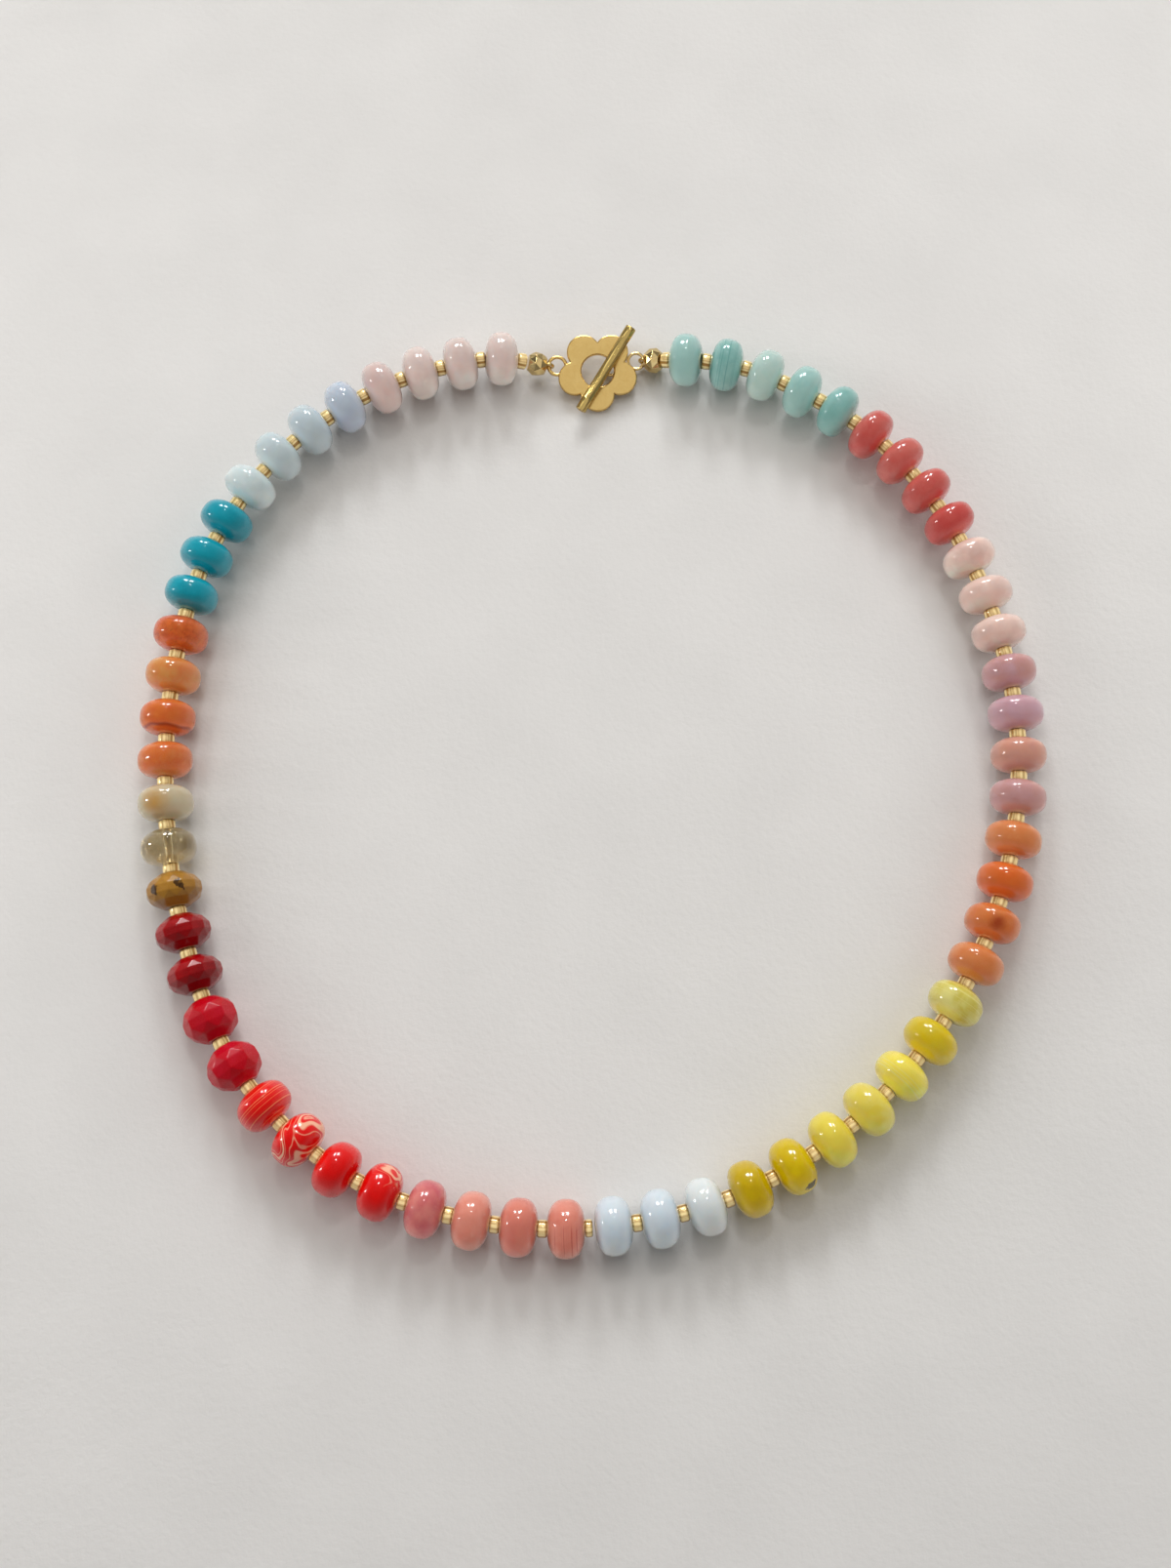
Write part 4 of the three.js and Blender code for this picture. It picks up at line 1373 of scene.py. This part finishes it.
eye.data.transform(Matrix.Translation((0, 0, eye_depth)) @ Matrix.Rotation(math.pi / 2, 4, "Y"))
shank_end = Vector((0, 0, eye_depth + EYE_WIDTH / 2 - EYE_WIRE / 2))
shank = rod("shank", Vector((0, 0, 0)), shank_end, SHANK_WIDTH / 2)
toggle = union("toggle_bar_with_eye", [bar, shank, eye])
bar_turn = Matrix.Rotation(math.radians(BAR_TURN - 90), 4, "Z")
bar_pose = Matrix.Translation((bar_middle.x, bar_middle.y, BAR_HEIGHT)) @ bar_turn
set_in_gold(toggle, to_frame @ clasp_frame @ bar_pose, 35, gold_brushed, "toggle_bar")

# %% [markdown]
# ## The link
# Two wire rings joined by a short waist. The smaller one hangs in the bar's eye, under the plate, and
# the larger one comes out past the petals to hold the right wire loop. It could be one curve with a
# round bevel, but that would cross itself at the waist, so rings and waist are soldered together.

# %% Link between the eye and the right wire loop
link_step = link_loop - link_eye
eye_end = wire_ring("eye_end", LINK_EYE_WIDTH, LINK_WIRE)
loop_end = wire_ring("loop_end", LINK_LOOP_WIDTH, LINK_WIRE)
loop_end.data.transform(Matrix.Translation((link_step.length, 0, 0)))
waist_start = (LINK_EYE_WIDTH - LINK_WIRE) / 2
waist_end = link_step.length - (LINK_LOOP_WIDTH - LINK_WIRE) / 2
waist = rod("waist", Vector((waist_start, 0, 0)), Vector((waist_end, 0, 0)), LINK_WIRE / 2)
link = union("clasp_link_wire", [eye_end, waist, loop_end])
link_turn = Matrix.Rotation(math.atan2(link_step.y, link_step.x), 4, "Z")
link_pose = Matrix.Translation((link_eye.x, link_eye.y, LINK_DEPTH)) @ link_turn
set_in_gold(link, to_frame @ clasp_frame @ link_pose, 40, gold_bright, "clasp_link")

# %% [markdown]
# ## Wire loops and end beads
# The string ends in a faceted gold bead with a round mouth, and a wire loop is set in that mouth. The
# loop stands upright and passes through the clasp's ring, so the two hold each other. Both lie on the
# string's curve, so they are made straight at the origin and then put in place, as the stones are.

# %% Wire loops
def wire_loop(side, place, turn):
    ring = wire_ring("ring", LOOP_WIDTH, LOOP_WIRE)
    ring.data.transform(Matrix.Rotation(math.pi / 2, 4, "Y"))
    start, end = (LOOP_WIDTH - LOOP_WIRE) / 2, RING_WIRE / 2 + MOUTH_DEPTH
    root = rod("root", Vector((0, start, 0)), Vector((0, end, 0)), LOOP_WIRE / 2)
    loop = union(f"wire_loop_{side}_wire", [ring, root])
    pose = string_pose(place) @ Matrix.Rotation(turn, 4, "X")
    set_in_gold(loop, pose, 40, gold_bright, "wire_loop_" + side)


wire_loop("left", 0.0, 0.0)
wire_loop("right", string_length, math.pi)

# %% [markdown]
# The end beads are cast with eight facets round, in three rows of slanting triangles. Cutting planes
# off a sphere would give facets too, but rings turned by half a facet put each one where it belongs.

# %% Faceted end beads
END_SIDES = 8
END_BORE = 0.3
END_ROUNDING = 0.05


def end_bead(side, size, place, turn):
    """Slanting facets at either end of a band, a flat back for the seed and a round mouth in front."""
    radius, back, front = size["width"] / 2, -size["length"] / 2, size["length"] / 2
    third, mouth = size["length"] / 3, MOUTH_WIDTH / 2
    profile = [
        (END_BORE, back), (SEED_WIDTH / 2, back), (radius, back + third), (radius, front - third),
        (mouth + MOUTH_RIM, front), (mouth, front), (mouth, front - MOUTH_DEPTH),
        (END_BORE, front - MOUTH_DEPTH),
    ]
    turns = [0.0, 0.0, 0.5, 1.0, 1.5, 1.5, 1.5, 1.5]
    rings = turned_rings(profile, END_SIDES, turns)
    piece = mesh_object(f"end_bead_{side}_faceted", *bridged(rings, False, slanted=(1, 2, 3)), scale=1.0)
    outward(piece.data)
    piece.data.transform(string_pose(place) @ Matrix.Rotation(turn, 4, "X"))
    rounded_edges(piece, END_ROUNDING, 2, 8)
    piece.data.materials.append(gold_bright)
    belongs(piece, "end_bead_" + side)
    print(piece.name, len(piece.data.polygons), "faces")


end_bead("left", END_BEAD_LEFT, mouth_side + END_BEAD_LEFT["length"] / 2, math.pi)
end_bead("right", END_BEAD_RIGHT, string_length - mouth_side - END_BEAD_RIGHT["length"] / 2, 0.0)

# %% [markdown]
# ## Table
# The necklace lies on a sheet of pale paper. Paper is matt and has a faint tooth. Displacing a fine
# mesh would show it too, but a bump is enough for what is lower than a hair. A fine noise gives it,
# and a slower one varies the paper's tone and lets it cockle.

# %% Paper
PAPER_BRIGHT = "E3E1DE"
PAPER_DULL = "DFDDDA"
PAPER_TOOTH = 900.0
PAPER_COCKLE = 60.0
PAPER_BUMP = 0.15 * MM
paper, tree, shader, place = new_material("paper")
tooth = noise(tree, place, PAPER_TOOTH, 5.0, Roughness=0.6)[0]
cockle = noise(tree, place, PAPER_COCKLE, 2.0)[0]
tone = ramp(tree, cockle, 0.3, 0.7)
height = arithmetic(tree, "ADD", tooth, arithmetic(tree, "MULTIPLY", cockle, 2.0))
bump = add_node(tree, "Bump", {"Height": height, "Strength": 0.5, "Distance": PAPER_BUMP})
feed(tree, shader, {
    "Base Color": blend_colours(tree, tone, linear(PAPER_BRIGHT), linear(PAPER_DULL)),
    "Normal": bump.outputs[0], "Roughness": 0.85, "Specular IOR Level": 0.2,
})

TABLE_HALF = 1.5
corners = [(x * TABLE_HALF, y * TABLE_HALF, 0) for x, y in ((-1, -1), (1, -1), (1, 1), (-1, 1))]
floor = mesh_object("paper_sheet", corners, [(0, 1, 2, 3)], scale=1.0)
floor.data.materials.append(paper)
floor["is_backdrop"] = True
print("paper:", 2 * TABLE_HALF, "m square")

# %% [markdown]
# ## Light
# The room is dim above and brighter near the horizon, which is what gives gold its contrast. A window
# of two panes stands beyond the clasp, and its image is the pair of bright patches near the top of
# every stone. A narrow window to the left and a small lamp overhead leave the two small glints. The
# broad soft lights above and at either side aren't seen in the polish: they only soften the shadows.
# An environment picture would bring all this at once, but each light here has one task and can be
# moved alone. The window's light is a little cool, and what comes off the walls and the ceiling is a
# little warm.

# %% Room
ROOM_LOW = 0.42
ROOM_HIGH = 0.1
ROOM_TINT = (1.0, 0.975, 0.95, 1.0)
world = bpy.data.worlds.new("room")
bpy.context.scene.world = world
world.use_nodes = True
tree = world.node_tree
sky = add_node(tree, "TexCoord").outputs["Generated"]
upward = add_node(tree, "SeparateXYZ", {0: sky}).outputs["Z"]
shade = ramp(tree, upward, 0.0, 0.8, ROOM_LOW, ROOM_HIGH)
feed(tree, tree.nodes["Background"], {"Color": ROOM_TINT, "Strength": shade})
print("room:", ROOM_LOW, "at the horizon,", ROOM_HIGH, "above")

# %% Windows and lamps
DAYLIGHT = (0.97, 1.0, 1.03)
WARM_WALL = (1.0, 0.94, 0.88)


def area_light(name, direction, distance, width, height, watts, glossy=True, shape="RECTANGLE",
               tint=(1, 1, 1)):
    """A soft lamp that looks at the necklace from a direction, with its distance and size in metres."""
    light = bpy.data.lights.new(name, "AREA")
    light.shape = shape
    light.size = width
    if shape == "RECTANGLE":
        light.size_y = height
    light.energy = watts
    light.color = tint
    lamp = bpy.data.objects.new(name, light)
    bpy.context.scene.collection.objects.link(lamp)
    toward = Vector(direction).normalized()
    turn = toward.to_track_quat("Z", "Y").to_matrix().to_4x4()
    lamp.matrix_world = Matrix.Translation(toward * distance) @ turn
    lamp.visible_camera = False
    lamp.visible_glossy = glossy
    print("light:", name, watts, "W")
    return lamp


area_light("window_pane_left", (-0.14, 0.86, 0.5), 2.5, 0.38, 0.6, 16.0, tint=DAYLIGHT)
area_light("window_pane_right", (0.14, 0.86, 0.5), 2.5, 0.4, 0.6, 17.0, tint=DAYLIGHT)
area_light("narrow_window", (-0.92, 0.15, 0.32), 1.0, 0.08, 0.2, 1.0)
area_light("overhead_lamp", (0.04, 0.51, 0.86), 1.2, 0.08, 0.08, 0.9, shape="DISK")
area_light("ceiling", (0, 0.45, 0.89), 0.8, 0.8, 0.8, 2.05, glossy=False, tint=WARM_WALL)
area_light("side_fill_left", (-0.86, 0.15, 0.5), 0.36, 0.18, 0.18, 0.26, glossy=False)
area_light("side_fill_right", (0.86, 0.15, 0.5), 0.36, 0.18, 0.18, 0.26, glossy=False)

# %% [markdown]
# ### Cards for gold and facets
# A photographer holds up white cards so that metal has something bright to mirror. One large card
# serves the gold pieces and the gold lined seeds, one behind the clasp lights its far edges, and one
# lays the long streak on the bar. A small one gives each of the three glossier cut stones its bright
# facet. In Blender a card can't be hung where only one piece sees it, but light linking does just
# that: each card shines on its own group of pieces and on nothing else.

# %% Cards, each for one group of pieces
def pieces_in(finishes):
    """All pieces whose material is one of these finishes."""
    meshes = [piece for piece in bpy.context.scene.objects if piece.type == "MESH"]
    return [piece for piece in meshes if set(piece.data.materials) & set(finishes)]


def shine_only_on(light, title, pieces):
    group = bpy.data.collections.new(title)
    for piece in pieces:
        group.objects.link(piece)
    light.light_linking.receiver_collection = group


gold_card = area_light("gold_card", (0, -0.2, 0.98), 0.8, 1.7, 1.4, 5.5)
shine_only_on(gold_card, "gold pieces", pieces_in((gold_satin, gold_bright, gold_brushed, gold_glass)))
rim_card = area_light("rim_card", (0, 0.9, 0.42), 1.0, 0.7, 0.4, 7.5)
shine_only_on(rim_card, "clasp pieces", pieces_in((gold_satin, gold_bright, gold_brushed)))
bar_card = area_light("bar_card", (-0.5, 0.29, 0.82), 1.0, 0.36, 0.36, 0.5)
shine_only_on(bar_card, "bar pieces", pieces_in((gold_brushed,)))
facet_card = area_light("facet_card", (-0.2, 0.78, 0.58), 1.0, 0.44, 0.26, 1.8)
shine_only_on(facet_card, "garnets", garnets)

# %% Sizes of the visual model against the CAD model
visual_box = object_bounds()
for name, low, high in (("CAD", *cad_box), ("visual", *visual_box)):
    print(name, "box, mm:", [round(value / MM, 2) for value in (*low, *high)])
